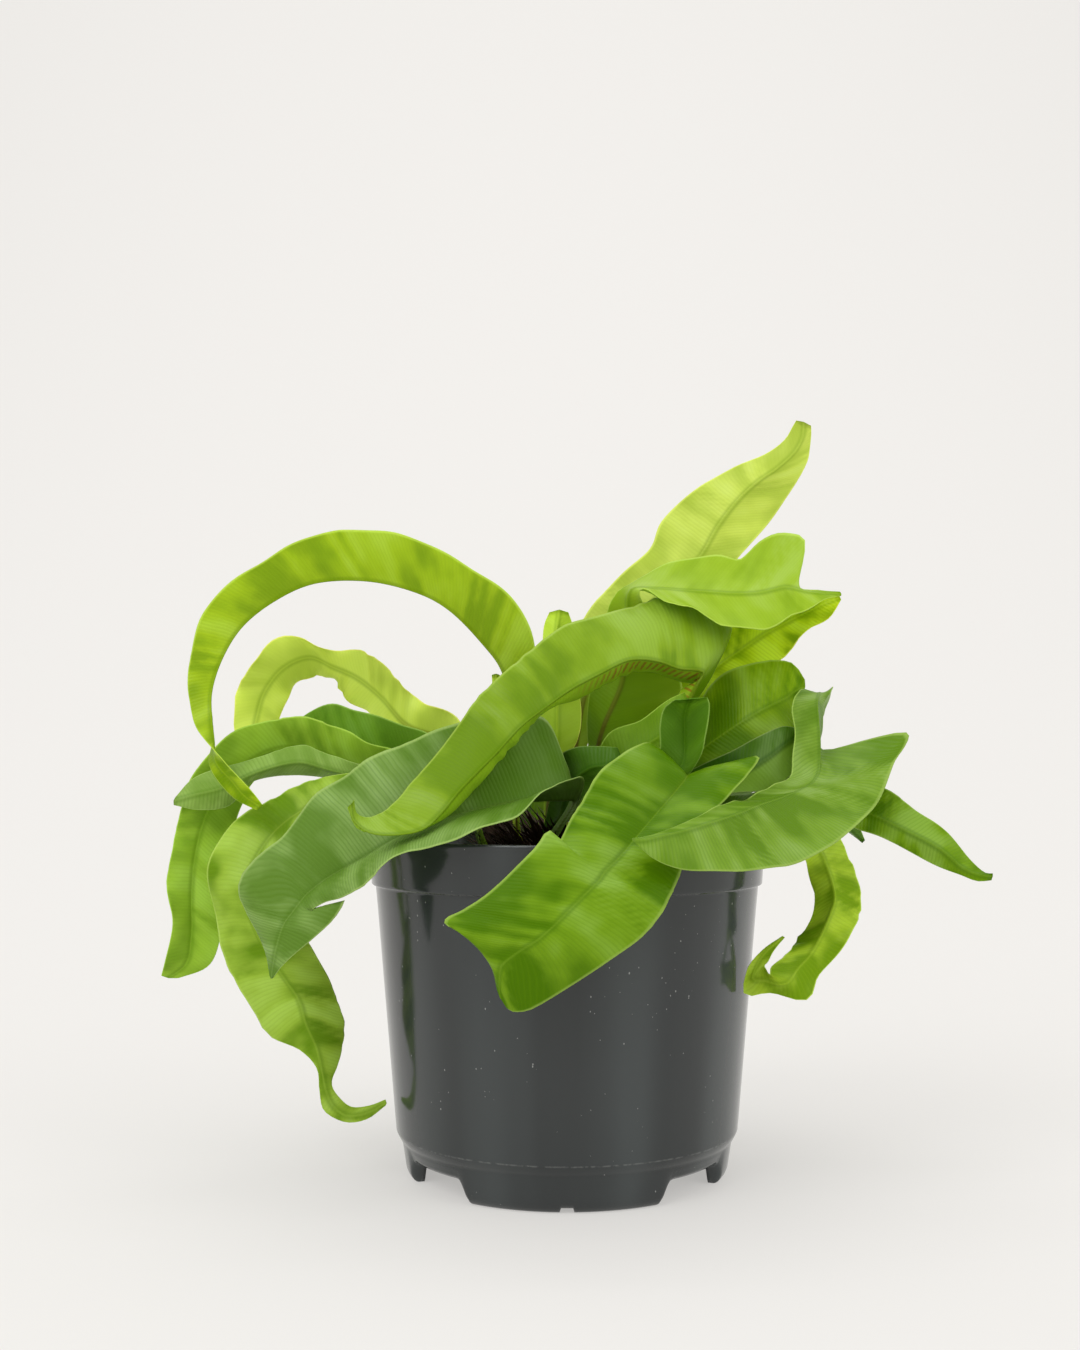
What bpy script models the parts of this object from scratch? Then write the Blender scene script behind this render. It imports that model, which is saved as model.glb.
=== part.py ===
"""A potted bird's nest fern: a dark nursery pot, its soil, its crown and every frond, in metres, +Z up.

The origin is on the ground under the pot's axis. X runs to the right and Y away from the viewer.
"""

from math import cos, pi, radians, sin

import bmesh
import bpy
import numpy as np
from mathutils import Vector

MM = 0.001

# Pot, in millimetres; a pair is the radius and the height of a corner of its section
RIM_TOP = (78.4, 132.5)
BAND_BOTTOM = (77.3, 114.3)
BODY_TOP_RADIUS = 75.7
BODY_BOTTOM = (67.7, 18.0)
FOOT_TOP = (65.3, 13.8)
FOOT_WALL_RADIUS = 64.0
FOOT_WALL_TOP = 5.5
FOOT_ROUND = (62.8, 1.6)
GROUND_RING = (58.4, 60.6)
WALL = 1.5
LIP_ROUND = 0.7
FLOOR_BOTTOM = 9.2
FLOOR_THICKNESS = 1.6
POT_SEGMENTS = 48
FOOT_GAP_BEARINGS = (-39.5, 90.0, 217.5)
FOOT_GAP_WIDTH = 37.0
FOOT_GAP_HEIGHT = 8.6
FOOT_GAP_FLARE = 2.0
FOOT_GAP_CORNER = 4.5
FOOT_GAP_REACH = (50.0, 74.0)
DRAIN_HOLES = 6
DRAIN_RADIUS = 4.5
DRAIN_CIRCLE = 38.0
DRAIN_TURN = 0.37
CUTTER_OVERSHOOT = 4.0

# Soil and crown
CLEARANCE = 0.3
SOIL_TOP = 118.5
SOIL_EDGE = 3.0
SOIL_TOP_RINGS = (8.0, 18.0, 29.0)
SOIL_RISE = 2.2
CROWN_RADIUS = 33.0
CROWN_BOTTOM = 104.0
CROWN_SECTION = (
    (0.0, 133.0), (10.0, 132.6), (20.0, 130.4), (28.0, 126.4), (32.0, 121.6), (33.0, 117.0), (33.0, 104.0),
)
TURNED_SEGMENTS = 36

# Stalks and blades
STALK_DEPTH = 9.0
STALK_WIDTH = 4.4
STALK_THICKNESS = 2.4
HOLE_RADIUS = 3.2
HOLE_LENGTH = 22.0
STALK_STRAIGHT = 14.0
STALK_SHARE = 0.12
BLADE_THICKNESS = 0.8
MIDRIB_WEIGHT = 0.3
ACROSS = (-1.0, -0.5, 0.0, 0.5, 1.0)
WAVE_LAG = 0.3
WAVE_START = 0.18
WAVE_FADES = (5.0, 6.0)
CURVE_SAMPLES = 40

# The crown's rings of stalks: radius, height of the crown's surface there and lean away from upright
RINGS = {
    "inner": (8.0, 132.8, 6.0),
    "middle": (17.0, 131.2, 18.0),
    "outer": (27.0, 126.9, 34.0),
}

# The fronds' places are measured in a front view: u to the right and v up, in the upright plane through
# the pot's axis, as seen from a point this far in front of it and this high, and then the depth y.
VIEW_DISTANCE = 600.0
VIEW_HEIGHT = 157.0

# Each frond: its ring and bearing on the crown, its number of lengthwise steps, its edge wave (height,
# waves along the blade, phase), its colour and its stations from the stalk to the tip. A station holds
# one edge, the midrib and the other edge, each as u, v and y.
FRONDS = {
    "frond_arch_left": (
        "middle", 165, 30, (0.8, 5.0, 0.0), "yellow_green", (
            ((-19, 160, 3), (-20, 160, 7), (-19, 160, 11)),
            ((-15, 182, 4), (-22, 180, 9), (-21, 182, 16)),
            ((-13, 208, 4), (-26, 199, 9), (-24, 203, 21)),
            ((-20, 225, 5), (-34, 210, 10), (-31, 214, 24)),
            ((-38, 240, 7), (-47, 223, 11), (-46, 227, 26)),
            ((-59, 251, 10), (-60, 230, 13), (-60, 235, 29)),
            ((-83, 254.5, 12), (-80, 234.6, 14), (-81, 239, 30)),
            ((-105, 252, 11), (-101, 233.6, 13), (-102, 238, 29)),
            ((-124, 241, 7), (-117, 226.5, 9), (-119, 230, 24)),
            ((-141, 227, 2), (-130, 216, 4), (-132, 219, 18)),
            ((-149.6, 210, -3), (-138, 203, -2), (-140, 205, 12)),
            ((-152, 192, -7), (-142, 190, -7), (-144, 191, 6)),
            ((-149.6, 180, -10), (-142, 180, -11), (-143, 180, 0)),
            ((-144, 171, -18), (-141, 171, -15), (-142, 170, -8)),
            ((-137, 163, -23), (-140, 162, -20), (-143, 162, -16)),
            ((-131, 156, -29), (-134, 155, -25), (-138.5, 154, -21)),
            ((-126, 150.6, -32), (-129, 149, -29), (-132.5, 147.5, -26)),
            ((-121.5, 145, -34), (-122.5, 144.3, -34), (-124, 143, -33)),
        ),
    ),
    "frond_arch_behind": (
        "outer", 140, 24, (1.2, 7.0, 0.2), "pale_green", (
            ((-33, 157, 25), (-34, 152, 27), (-36, 148, 30)),
            ((-47, 182, 38), (-50, 171, 40), (-54, 163, 44)),
            ((-60, 187, 44), (-64, 177, 46), (-68, 169, 50)),
            ((-70, 198, 46), (-74, 188, 50), (-76, 179, 56)),
            ((-82, 207, 49), (-84, 196, 53), (-86, 186, 58)),
            ((-93, 206, 51), (-93, 200, 54), (-92, 193, 58)),
            ((-106, 212.5, 48), (-103, 204, 52), (-102, 197, 60)),
            ((-119, 209, 46), (-113, 200, 50), (-107, 194, 57)),
            ((-130, 195, 44), (-121, 190, 48), (-112, 187, 54)),
            ((-133, 182, 42), (-124, 180, 46), (-115, 179, 50)),
            ((-132, 169, 40), (-126, 169, 43), (-119, 170, 46)),
            ((-129, 160, 39), (-127, 160, 40), (-125, 161, 41)),
        ),
    ),
    "frond_dark_behind": (
        "outer", 156, 16, (0.8, 4.0, 0.0), "dark_green", (
            ((-36, 156, 14), (-37, 150, 17), (-39, 147, 21)),
            ((-52, 172, 20), (-54, 160, 24), (-56, 152, 33)),
            ((-66, 177, 24), (-67, 165, 28), (-68, 158, 38)),
            ((-83, 183, 26), (-83, 170, 30), (-83, 163, 39)),
            ((-95, 185, 27), (-96, 174, 31), (-95, 167, 38)),
            ((-104, 181.5, 28), (-105, 174, 31), (-104, 169, 35)),
            ((-111, 175.5, 29), (-112, 174, 30), (-112, 172.5, 31)),
        ),
    ),
    "frond_hanging_left": (
        "outer", 172, 30, (0.8, 8.0, 0.0), "mid_green", (
            ((-40, 157, 4), (-41, 150, 7), (-43, 146, 11)),
            ((-58, 163, 5), (-59, 154, 9), (-60, 148, 18)),
            ((-76, 169, 5), (-75, 158, 11), (-75, 151, 22)),
            ((-89, 175, 5), (-90, 163, 11), (-90, 156, 22)),
            ((-105, 180, 5), (-106, 168, 11), (-105, 158, 20)),
            ((-120, 179, 5), (-118, 167, 10), (-115, 157.5, 18)),
            ((-138, 170.6, 3), (-130, 160, 7), (-124, 155, 13)),
            ((-150, 156, 1), (-140, 149, 4), (-130, 145, 8)),
            ((-155, 140, -1), (-146, 136, 2), (-134, 131, 5)),
            ((-157.5, 128, -2), (-149, 122, 1), (-137, 117, 3)),
            ((-160, 113, -2), (-150, 108, 2), (-139, 104, 2)),
            ((-157.5, 98, -3), (-150, 94, 1), (-139, 90, 1)),
            ((-160.5, 83, -2), (-152, 82, 1), (-144, 80, 1)),
            ((-162, 77, 2), (-159, 76, 3), (-155, 76, 3)),
        ),
    ),
    "frond_tip_left": (
        "outer", 188, 22, (0.6, 5.0, 0.3), "blue_green", (
            ((-40, 153, -6), (-41, 149, -6), (-42, 145, -4)),
            ((-58, 158, -10), (-59, 152, -8), (-60, 148, -2)),
            ((-78, 161, -8), (-78, 155, -7), (-78, 150, 1)),
            ((-95, 165, -5), (-95, 159, -7), (-95, 155.6, -1)),
            ((-106, 169, -3), (-107, 162, -8), (-109, 157, -3)),
            ((-123, 164, -4), (-124, 158, -9), (-125, 154.5, -6)),
            ((-138, 160, -5), (-137, 152, -11), (-135, 145, -8)),
            ((-150, 155, -7), (-149, 149, -12), (-147, 143, -11)),
            ((-156, 148.5, -10), (-157, 146.7, -11), (-157, 145, -11)),
        ),
    ),
    "frond_long_hanging": (
        "outer", 204, 34, (0.9, 7.0, 0.0), "light_green", (
            ((-38, 150, -13), (-39, 147, -16), (-39, 144, -19)),
            ((-58, 152, -14), (-58, 148, -19), (-58, 145, -25)),
            ((-78, 157, -14), (-78, 148, -18), (-78, 143, -25)),
            ((-96, 157, -13), (-95, 147, -19), (-92, 140, -25)),
            ((-109, 151.5, -13), (-107, 142, -20), (-102, 132, -26)),
            ((-120, 146, -14), (-117, 134, -22), (-108, 122, -28)),
            ((-133, 139, -16), (-124, 124, -24), (-111, 112, -30)),
            ((-141, 127, -18), (-128, 114, -26), (-112, 104, -31)),
            ((-143, 115, -18), (-127, 102, -27), (-109, 97, -30)),
            ((-140, 98, -19), (-121, 88, -28), (-103, 90, -27)),
            ((-137, 84, -20), (-113, 76, -28), (-97, 79, -23)),
            ((-128, 68, -22), (-107, 67, -28), (-92, 68, -20)),
            ((-119, 53, -24), (-104, 57, -28), (-89, 58, -19)),
            ((-107, 47.5, -25), (-100, 48, -27), (-89.5, 49, -20)),
            ((-100, 40, -26), (-98, 39, -26), (-92, 40, -22)),
            ((-99, 32, -25), (-96.5, 32, -25), (-94, 34, -24)),
            ((-97, 23, -23), (-93.5, 25, -23), (-91, 28.5, -22)),
            ((-89, 18.5, -22), (-88, 21, -22), (-86, 24.5, -21)),
            ((-80, 19.5, -21), (-80, 22, -21), (-79, 25, -20)),
            ((-72.5, 25, -20), (-72, 26, -20), (-72.5, 27.5, -20)),
        ),
    ),
    "frond_broad_front_left": (
        "outer", 258, 38, (1.0, 5.0, 0.0), "blue_green", (
            ((2, 150, -34), (3, 146, -38), (5, 147, -43)),
            ((-2, 166, -33), (-3, 147, -42), (6, 156, -58)),
            ((-9, 180, -27), (-15, 146.6, -45), (-8, 151, -68)),
            ((-25, 182, -27), (-28, 144.6, -47), (-21, 141, -76)),
            ((-42, 179, -29), (-44, 141, -49), (-39, 133, -79)),
            ((-58, 173, -32), (-57, 136.5, -50), (-53, 128.6, -78)),
            ((-74, 165, -36), (-70, 130.6, -50), (-64, 127, -76)),
            ((-88, 158, -37), (-81, 124, -49), (-74, 119, -73)),
            ((-100, 150, -38), (-91, 118.5, -50), (-83, 112, -70)),
            ((-107, 141, -40), (-98, 114, -51), (-90, 108.4, -65)),
            ((-114, 131, -41), (-104, 109, -52), (-97, 106.5, -60)),
            ((-121, 126, -42), (-107, 105.5, -53), (-101.5, 102.5, -57)),
            ((-128, 120, -42), (-109.5, 102, -53), (-96, 104, -58)),
            ((-131, 115, -43), (-111.5, 99.5, -53), (-88.8, 107, -60)),
            ((-131.5, 109, -43), (-113.5, 96, -54), (-92, 100.5, -61)),
            ((-128, 102, -45), (-115, 91.5, -54), (-102.5, 91, -60)),
            ((-123, 93, -47), (-116.4, 86, -54), (-109.5, 85, -58)),
            ((-120, 85, -49), (-117.3, 80.5, -53), (-114.5, 80, -56)),
            ((-118.7, 77, -52), (-118, 75.7, -53), (-117, 76.5, -54)),
        ),
    ),
    "frond_central_ribbon": (
        "middle", 356, 34, (0.8, 7.0, 0.0), "bright_green", (
            ((33, 160, -9), (33, 159, -12), (33, 158, -15)),
            ((50, 185, -13), (47, 183, -17), (43, 184, -19)),
            ((59, 199, -14), (52, 193, -20), (46, 192, -14)),
            ((66, 216, -5), (54, 198.5, -21), (52, 193, -9)),
            ((58, 224, -2), (45, 199.5, -24), (45, 194.5, -9)),
            ((44, 229, -4), (36, 202.5, -27), (37, 197.5, -11)),
            ((28, 225, -9), (25, 203, -31), (27, 198, -15)),
            ((12, 220.5, -20), (13, 197.5, -35), (16, 193.5, -19)),
            ((-2, 216.5, -27), (1, 191, -39), (5, 187.5, -23)),
            ((-14, 207, -35), (-10, 183, -45), (-6, 184, -32)),
            ((-25, 198, -40), (-19, 176, -50), (-14, 177, -38)),
            ((-36, 187.5, -44), (-28, 166, -54), (-23, 167, -43)),
            ((-44, 176, -48), (-36, 158, -58), (-31, 158, -48)),
            ((-54, 163, -52), (-44, 149.5, -61), (-39, 149, -52)),
            ((-62, 154, -56), (-51, 141, -65), (-47, 141, -57)),
            ((-69, 146, -59), (-58, 135, -69), (-54, 137, -61)),
            ((-74, 142, -61), (-69, 133, -71), (-66, 134.5, -62)),
            ((-80, 140, -64), (-79, 134, -71), (-76, 133.5, -64)),
            ((-84, 142, -66), (-85.5, 139, -69.5), (-84, 136, -65)),
            ((-85, 147, -68), (-86.5, 145, -68.5), (-87.5, 144, -66)),
        ),
    ),
    "frond_bright_front": (
        "outer", 300, 32, (1.0, 4.0, 0.0), "deep_green", (
            ((26, 145, -34), (30, 144, -38), (34, 145, -42)),
            ((33, 162, -43), (43, 154, -48), (56, 155, -48)),
            ((33, 171, -50), (48, 156.5, -55), (76, 164, -49)),
            ((26, 168, -58), (44, 151, -62), (72, 157, -58)),
            ((18, 162.5, -64), (38, 144, -69), (65, 149.5, -66)),
            ((11, 155, -71), (32, 137, -77), (58, 142, -74)),
            ((6, 147, -78), (26, 130, -85), (52, 133, -82)),
            ((1, 139, -85), (20, 123, -91), (47, 123, -88)),
            ((-4.5, 129.5, -89), (15, 118, -94), (45, 117, -90)),
            ((-7, 135, -91), (13, 115, -95), (44, 114, -92)),
            ((-12.5, 128, -92), (10, 112, -97), (42, 110, -94)),
            ((-21, 119.5, -94), (3, 105, -99), (38, 102, -96)),
            ((-32, 109.5, -96), (-5, 97, -101), (29, 91.5, -98)),
            ((-41, 103.5, -97), (-12, 91, -102), (14, 81, -99)),
            ((-49, 98, -98), (-20, 86, -101), (-1, 71, -98)),
            ((-41, 93, -99), (-26, 81, -100), (-14, 63.5, -96)),
            ((-31, 83, -98), (-27, 74, -98), (-21, 62.5, -95)),
            ((-28, 72, -96), (-26.5, 68, -96), (-24, 64, -95)),
        ),
    ),
    "frond_large_right": (
        "outer", 12, 34, (0.8, 6.0, 0.0), "mid_blue_green", (
            ((46, 148, 14), (47, 146, 10), (47, 145, 6)),
            ((70, 152, 22), (71, 150, 16), (71, 149, 9)),
            ((90, 164, 26), (90, 162, 18), (90, 163, 9)),
            ((101, 178, 28), (99, 176, 18), (97, 178, 9)),
            ((106, 191, 18), (101, 189.5, 6), (96, 191, -3)),
            ((104, 187, 3), (100, 185, -8), (90, 187, -17)),
            ((102, 175, -2), (101, 172, -14), (91, 176, -23)),
            ((103, 167, -4), (101, 163, -18), (91, 166, -28)),
            ((118, 170, 2), (100.5, 158, -24), (90, 158, -34)),
            ((135, 173, 4), (98, 154, -31), (86, 154, -42)),
            ((131, 163, -8), (93, 151, -40), (80, 151.5, -50)),
            ((124, 146, -26), (86, 148, -51), (73, 148.5, -58)),
            ((110, 132, -48), (77, 145, -63), (65, 146, -68)),
            ((94, 123, -68), (67, 141, -76), (57, 143, -79)),
            ((76, 119, -84), (56, 137.5, -87), (49, 139, -88)),
            ((60, 118.5, -94), (46, 134.5, -95), (41, 135.5, -95)),
            ((45, 119.5, -100), (37, 132.5, -100), (34, 133, -99)),
            ((34, 124, -102), (30, 131, -102), (29, 132, -101)),
            ((27, 130, -102), (26, 131, -102), (26, 131.8, -102)),
        ),
    ),
    "frond_upper_right": (
        "inner", 20, 24, (0.8, 5.0, 0.0), "pale_green", (
            ((9, 163, 5), (11, 162, 1), (15, 162, -3)),
            ((8, 178, 6), (14.5, 176, 0), (30, 175, -3)),
            ((10, 196, 7), (22, 194, 2), (46, 189, 2)),
            ((14, 216, 8), (24, 214, 2), (38, 210, 2)),
            ((22, 232, 6), (25.5, 231, -3), (30, 230, -9)),
            ((34, 239, 8), (36, 231.5, -6), (40, 227, -18)),
            ((48, 243, 8), (48, 230.6, -7), (52, 223, -21)),
            ((60, 244.5, 6), (58, 230, -8), (62, 216.5, -21)),
            ((68.5, 243.7, 4), (67, 229.4, -9), (70, 215, -21)),
            ((72, 246.5, 7), (71.5, 229.5, -9.5), (74, 215.3, -21)),
            ((77.5, 251, 8), (76.5, 229.8, -10), (79, 215.8, -21)),
            ((87, 253.2, 4), (82.5, 231, -11), (85, 217.8, -21)),
            ((95, 250.8, -2), (87, 232, -12.5), (90, 220.8, -21)),
            ((94, 241, -7), (90, 231.6, -14), (94, 222, -21)),
            ((92, 232.5, -12), (94, 230.5, -15), (98, 224, -20)),
            ((101, 230.8, -14), (101, 229.5, -16), (103, 227, -19)),
            ((109, 230.2, -16.5), (109.5, 229.4, -17), (109.5, 228.6, -17.5)),
        ),
    ),
    "frond_upper_right_low": (
        "middle", 50, 16, (0.6, 3.0, 0.0), "yellow_green", (
            ((23, 160, 14), (25, 158, 11), (27, 157, 8)),
            ((40, 186, 16), (43, 182, 11), (47, 179, 6)),
            ((54, 206, 16), (59, 199, 9), (64, 194, 3)),
            ((66, 218, 14), (70, 207, 8), (75, 199, 2)),
            ((78, 225, 10), (81, 214.5, 5), (86, 204, 0)),
            ((90, 229, 4), (92, 220, 0), (96, 214.5, -4)),
            ((101, 230, -3), (102, 225, -5), (105, 220, -8)),
            ((108.5, 228.8, -9), (109, 228, -9), (109.5, 227, -9)),
        ),
    ),
    "frond_right_centre": (
        "middle", 22, 14, (0.8, 3.0, 0.0), "deep_green", (
            ((31, 152, 5), (32, 149, 1), (34, 147, -3)),
            ((48, 172, 3), (50, 164, -3), (54, 157, -9)),
            ((56, 192, 1), (65, 175, -6), (71, 161, -14)),
            ((69, 200, 0), (78, 183, -8), (86, 166, -16)),
            ((83, 203, -1), (88, 188, -8), (91.5, 173, -14)),
            ((91, 201, -2), (92, 191, -7), (93, 181, -11)),
            ((95, 195, -4), (95, 192, -5), (93.5, 188, -7)),
        ),
    ),
    "frond_tall": (
        "inner", 100, 26, (0.8, 4.0, 0.0), "pale_green", (
            ((0, 165, 13), (3, 165, 12), (7, 165, 11)),
            ((0, 196, 18), (9, 194, 15), (17, 192, 12)),
            ((5, 217, 22), (22, 214, 17), (34, 210, 14)),
            ((16, 231.5, 24), (36, 228, 18), (52, 224, 14)),
            ((29, 243, 26), (48, 239, 19), (62, 234, 14)),
            ((34, 249, 27), (54, 245.5, 19), (67, 242, 15)),
            ((38, 259, 27), (60, 256, 18), (76, 252, 17)),
            ((50, 270, 25), (68, 266.5, 16), (84, 262.5, 18)),
            ((66, 279.5, 22), (76, 274, 15), (91, 273, 17)),
            ((79, 285, 19), (84, 279.5, 14), (96, 282, 16)),
            ((87, 291, 16), (91, 286, 14), (97, 288, 16)),
            ((90, 296, 15), (94, 292, 14), (97.5, 293, 15)),
            ((91.5, 298.6, 14), (94.5, 298, 14), (97.5, 296.5, 14)),
        ),
    ),
    "frond_young_curl": (
        "inner", 215, 14, (0.3, 3.0, 0.0), "pale_green", (
            ((-9, 158, -4), (-6, 158, -6), (-3, 158, -8)),
            ((-12, 174, -4), (-4, 173, -9), (5, 173, -8)),
            ((-12, 190, -4), (-4, 189, -9), (5, 189, -7)),
            ((-10, 205, -5), (-5, 204, -10), (1, 205, -7)),
            ((-9, 217, -6), (-4, 216, -12), (2, 217, -6)),
            ((-7, 222, -9), (-3, 223, -11), (0.5, 222, -9)),
        ),
    ),
    "frond_young_tip": (
        "middle", 205, 10, (0.2, 2.0, 0.0), "pale_green", (
            ((-21, 165, -13), (-20, 165, -15), (-19, 165, -17)),
            ((-29, 185, -15), (-26, 185, -18), (-23, 185, -19)),
            ((-30, 197, -19), (-28.5, 197.5, -20), (-27, 197, -19)),
        ),
    ),
    "frond_inner_right": (
        "middle", 331, 14, (0.5, 3.0, 0.0), "bright_green", (
            ((26, 150, -17), (28, 147, -19), (30, 145, -22)),
            ((44, 157, -20), (47, 152, -23), (50, 149, -27)),
            ((62, 165, -21), (66, 156, -26), (70, 150, -30)),
            ((76, 172, -21), (79, 163, -24), (82, 152, -27)),
            ((86, 176.5, -19), (87, 169, -21), (90, 158, -22)),
            ((91, 176, -18), (91.5, 172, -18), (92.5, 167, -18)),
        ),
    ),
    "frond_far_right": (
        "outer", 345, 22, (0.7, 5.0, 0.0), "mid_green", (
            ((46, 142, -6), (46, 140, -9), (46, 139, -12)),
            ((72, 150, -4), (72, 145, -9), (72, 143, -16)),
            ((96, 154, -2), (96, 147, -8), (95, 143, -16)),
            ((114, 154, -2), (112, 145, -8), (110, 139, -15)),
            ((127, 151, -5), (122, 141, -11), (118, 135, -14)),
            ((141, 142, -9), (137, 134, -15), (133, 128.5, -14)),
            ((152, 134, -13), (149, 127.5, -18), (145, 122, -16)),
            ((161, 123, -16), (158, 120, -19), (156, 117.5, -18)),
            ((167, 118, -18), (165, 117, -20), (164, 114.5, -20)),
            ((170, 117.7, -20), (170, 116.5, -20.5), (169.5, 115, -21)),
        ),
    ),
    "frond_curly_right": (
        "outer", 328, 42, (0.2, 6.0, 0.0), "mid_green", (
            ((44, 140, -16), (44, 138, -19), (44, 136, -22)),
            ((68, 142, -19), (68, 139, -24), (68, 136, -29)),
            ((90, 142, -19), (88, 137, -25), (86, 133, -31)),
            ((105, 136, -18), (99, 130, -26), (93, 126, -32)),
            ((113, 124, -20), (104, 120, -28), (96, 119, -24)),
            ((117, 110, -22), (107, 108, -31), (99, 108, -22)),
            ((117, 101, -22), (105, 101, -31), (97, 99, -22)),
            ((113, 93, -24), (101, 92, -30), (92, 91, -24)),
            ((107, 84, -27), (97, 85, -31), (88, 86, -33)),
            ((100, 76, -30), (92, 79.5, -35), (82.5, 81, -38)),
            ((95.5, 67.5, -33), (88, 74, -38), (81, 78.5, -40)),
            ((87, 68.4, -35), (83.5, 73.5, -38), (80.8, 78, -39)),
            ((79.5, 70, -35), (78.5, 75, -36), (79.5, 79.5, -36)),
            ((71, 69, -33), (74, 75.5, -34), (78.5, 81, -34)),
            ((71.8, 79, -33), (76, 81.5, -33), (80.3, 82.5, -33)),
            ((77, 86.2, -33), (79.6, 86.4, -33), (82.2, 86.4, -33)),
            ((86, 92.8, -33), (86.5, 92.5, -33), (87, 92.2, -33)),
        ),
    ),
    "frond_centre_dark": (
        "middle", 250, 10, (0.3, 2.0, 0.0), "dark_green", (
            ((-8, 141, -20), (-3, 140, -23), (3, 140, -26)),
            ((-6, 152, -21), (-1, 148, -25), (6, 147, -28)),
            ((-3, 164, -25), (4, 156, -29), (12, 153, -32)),
            ((3, 168, -30), (10, 160, -35), (17, 154, -38)),
            ((12, 168.6, -34), (16, 161, -39), (21, 155, -42)),
            ((20, 168, -38), (22, 164, -41), (24, 159, -42)),
        ),
    ),
    "frond_inner_mid": (
        "middle", 280, 12, (0.3, 2.0, 0.0), "mid_green", (
            ((9, 155, -18), (12, 151, -20), (15, 149, -22)),
            ((17, 174, -22), (24, 165, -25), (30, 158, -28)),
            ((30, 179, -24), (35, 171, -27), (40, 163, -30)),
            ((40, 187, -25), (44, 179, -28), (48, 172, -31)),
            ((47, 190, -26), (49, 186, -28), (51, 181, -29)),
        ),
    ),
    "frond_inner_tongue": (
        "middle", 306, 12, (0.3, 2.0, 0.0), "dark_green", (
            ((17, 151, -25), (20, 149, -27), (23, 147, -28)),
            ((32, 158, -33), (38, 154, -36), (44, 153, -36)),
            ((37, 166, -39), (46, 161, -37), (53, 164, -42)),
            ((37, 177, -42), (47, 172, -36), (56, 176, -44)),
            ((39, 184, -43), (47, 181, -38), (57, 185, -45)),
            ((43, 187, -45), (49, 187.5, -43), (56, 188, -45)),
        ),
    ),
    "frond_back_a": (
        "outer", 120, 18, (1.2, 5.0, 0.0), "mid_green", (
            ((-14, 152, 36), (-19, 151, 35), (-24, 152, 34)),
            ((-19, 165, 56), (-30, 160, 54), (-40, 163, 50)),
            ((-25, 162, 78), (-38, 156, 74), (-50, 160, 68)),
            ((-29, 148, 95), (-43, 143, 89), (-56, 147, 82)),
            ((-33, 126, 103), (-46, 123, 97), (-58, 127, 90)),
            ((-38, 103, 101), (-48, 102, 97), (-57, 106, 92)),
            ((-46, 90, 96), (-48, 89, 95), (-50, 90, 94)),
        ),
    ),
    "frond_back_b": (
        "outer", 95, 18, (1.2, 5.0, 0.4), "light_green", (
            ((4, 155, 44), (-3, 153, 44), (-9, 155, 44)),
            ((7, 169, 64), (-6, 164, 64), (-18, 168, 63)),
            ((4, 168, 86), (-10, 162, 86), (-22, 166, 84)),
            ((0, 152, 100), (-13, 147, 99), (-25, 150, 97)),
            ((-3, 132, 104), (-15, 130, 102), (-26, 132, 100)),
            ((-9, 112, 100), (-16, 110, 98), (-22, 112, 98)),
            ((-15, 98, 94), (-17, 97, 94), (-19, 98, 94)),
        ),
    ),
    "frond_back_c": (
        "outer", 70, 18, (1.2, 5.0, 0.7), "mid_green", (
            ((17, 156, 43), (12, 154, 44), (7, 156, 45)),
            ((29, 173, 61), (19, 168, 63), (10, 172, 65)),
            ((39, 172, 80), (27, 166, 83), (15, 171, 86)),
            ((45, 155, 93), (33, 150, 97), (20, 154, 101)),
            ((48, 133, 97), (37, 130, 101), (25, 133, 104)),
            ((47, 112, 92), (39, 110, 96), (31, 113, 98)),
            ((42, 96, 90), (40, 95, 90), (38, 96, 91)),
        ),
    ),
    "frond_back_d": (
        "outer", 46, 16, (1.0, 4.0, 0.1), "deep_green", (
            ((33, 152, 30), (30, 150, 34), (27, 152, 37)),
            ((52, 165, 42), (46, 160, 49), (38, 164, 56)),
            ((66, 160, 56), (57, 155, 64), (47, 159, 73)),
            ((72, 142, 68), (62, 138, 78), (52, 142, 86)),
            ((73, 121, 74), (64, 118, 84), (54, 121, 90)),
            ((66, 102, 78), (62, 101, 82), (58, 102, 85)),
        ),
    ),
    "frond_back_right": (
        "outer", 29, 16, (1.0, 4.0, 0.5), "mid_green", (
            ((42, 147, 20), (41, 146, 23), (40, 147, 26)),
            ((64, 158, 30), (61, 155, 35), (57, 158, 42)),
            ((88, 160, 36), (84, 154, 44), (79, 157, 53)),
            ((107, 150, 38), (102, 145, 48), (96, 148, 58)),
            ((116, 138, 44), (112, 136, 49), (107, 138, 55)),
            ((119, 131, 49), (118, 130, 50), (117, 131, 51)),
        ),
    ),
}

COLOURS = {
    "yellow_green": (0.36, 0.48, 0.01),
    "pale_green": (0.42, 0.60, 0.06),
    "light_green": (0.28, 0.47, 0.04),
    "bright_green": (0.22, 0.40, 0.02),
    "deep_green": (0.12, 0.32, 0.01),
    "mid_green": (0.15, 0.33, 0.02),
    "mid_blue_green": (0.17, 0.34, 0.05),
    "blue_green": (0.10, 0.22, 0.04),
    "dark_green": (0.06, 0.17, 0.02),
}


def make_material(name, colour, roughness):
    material = bpy.data.materials.new(name)
    material.use_nodes = True
    shader = material.node_tree.nodes["Principled BSDF"]
    shader.inputs["Base Color"].default_value = (*colour, 1.0)
    shader.inputs["Roughness"].default_value = roughness
    shader.inputs["Metallic"].default_value = 0.0
    return material


def add_object(name, mesh, collection, material=None):
    added = bpy.data.objects.new(name, mesh)
    collection.objects.link(added)
    if material:
        mesh.materials.append(material)
    return added


def mesh_from(bm, name):
    mesh = bpy.data.meshes.new(name)
    bm.to_mesh(mesh)
    bm.free()
    return mesh


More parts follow.
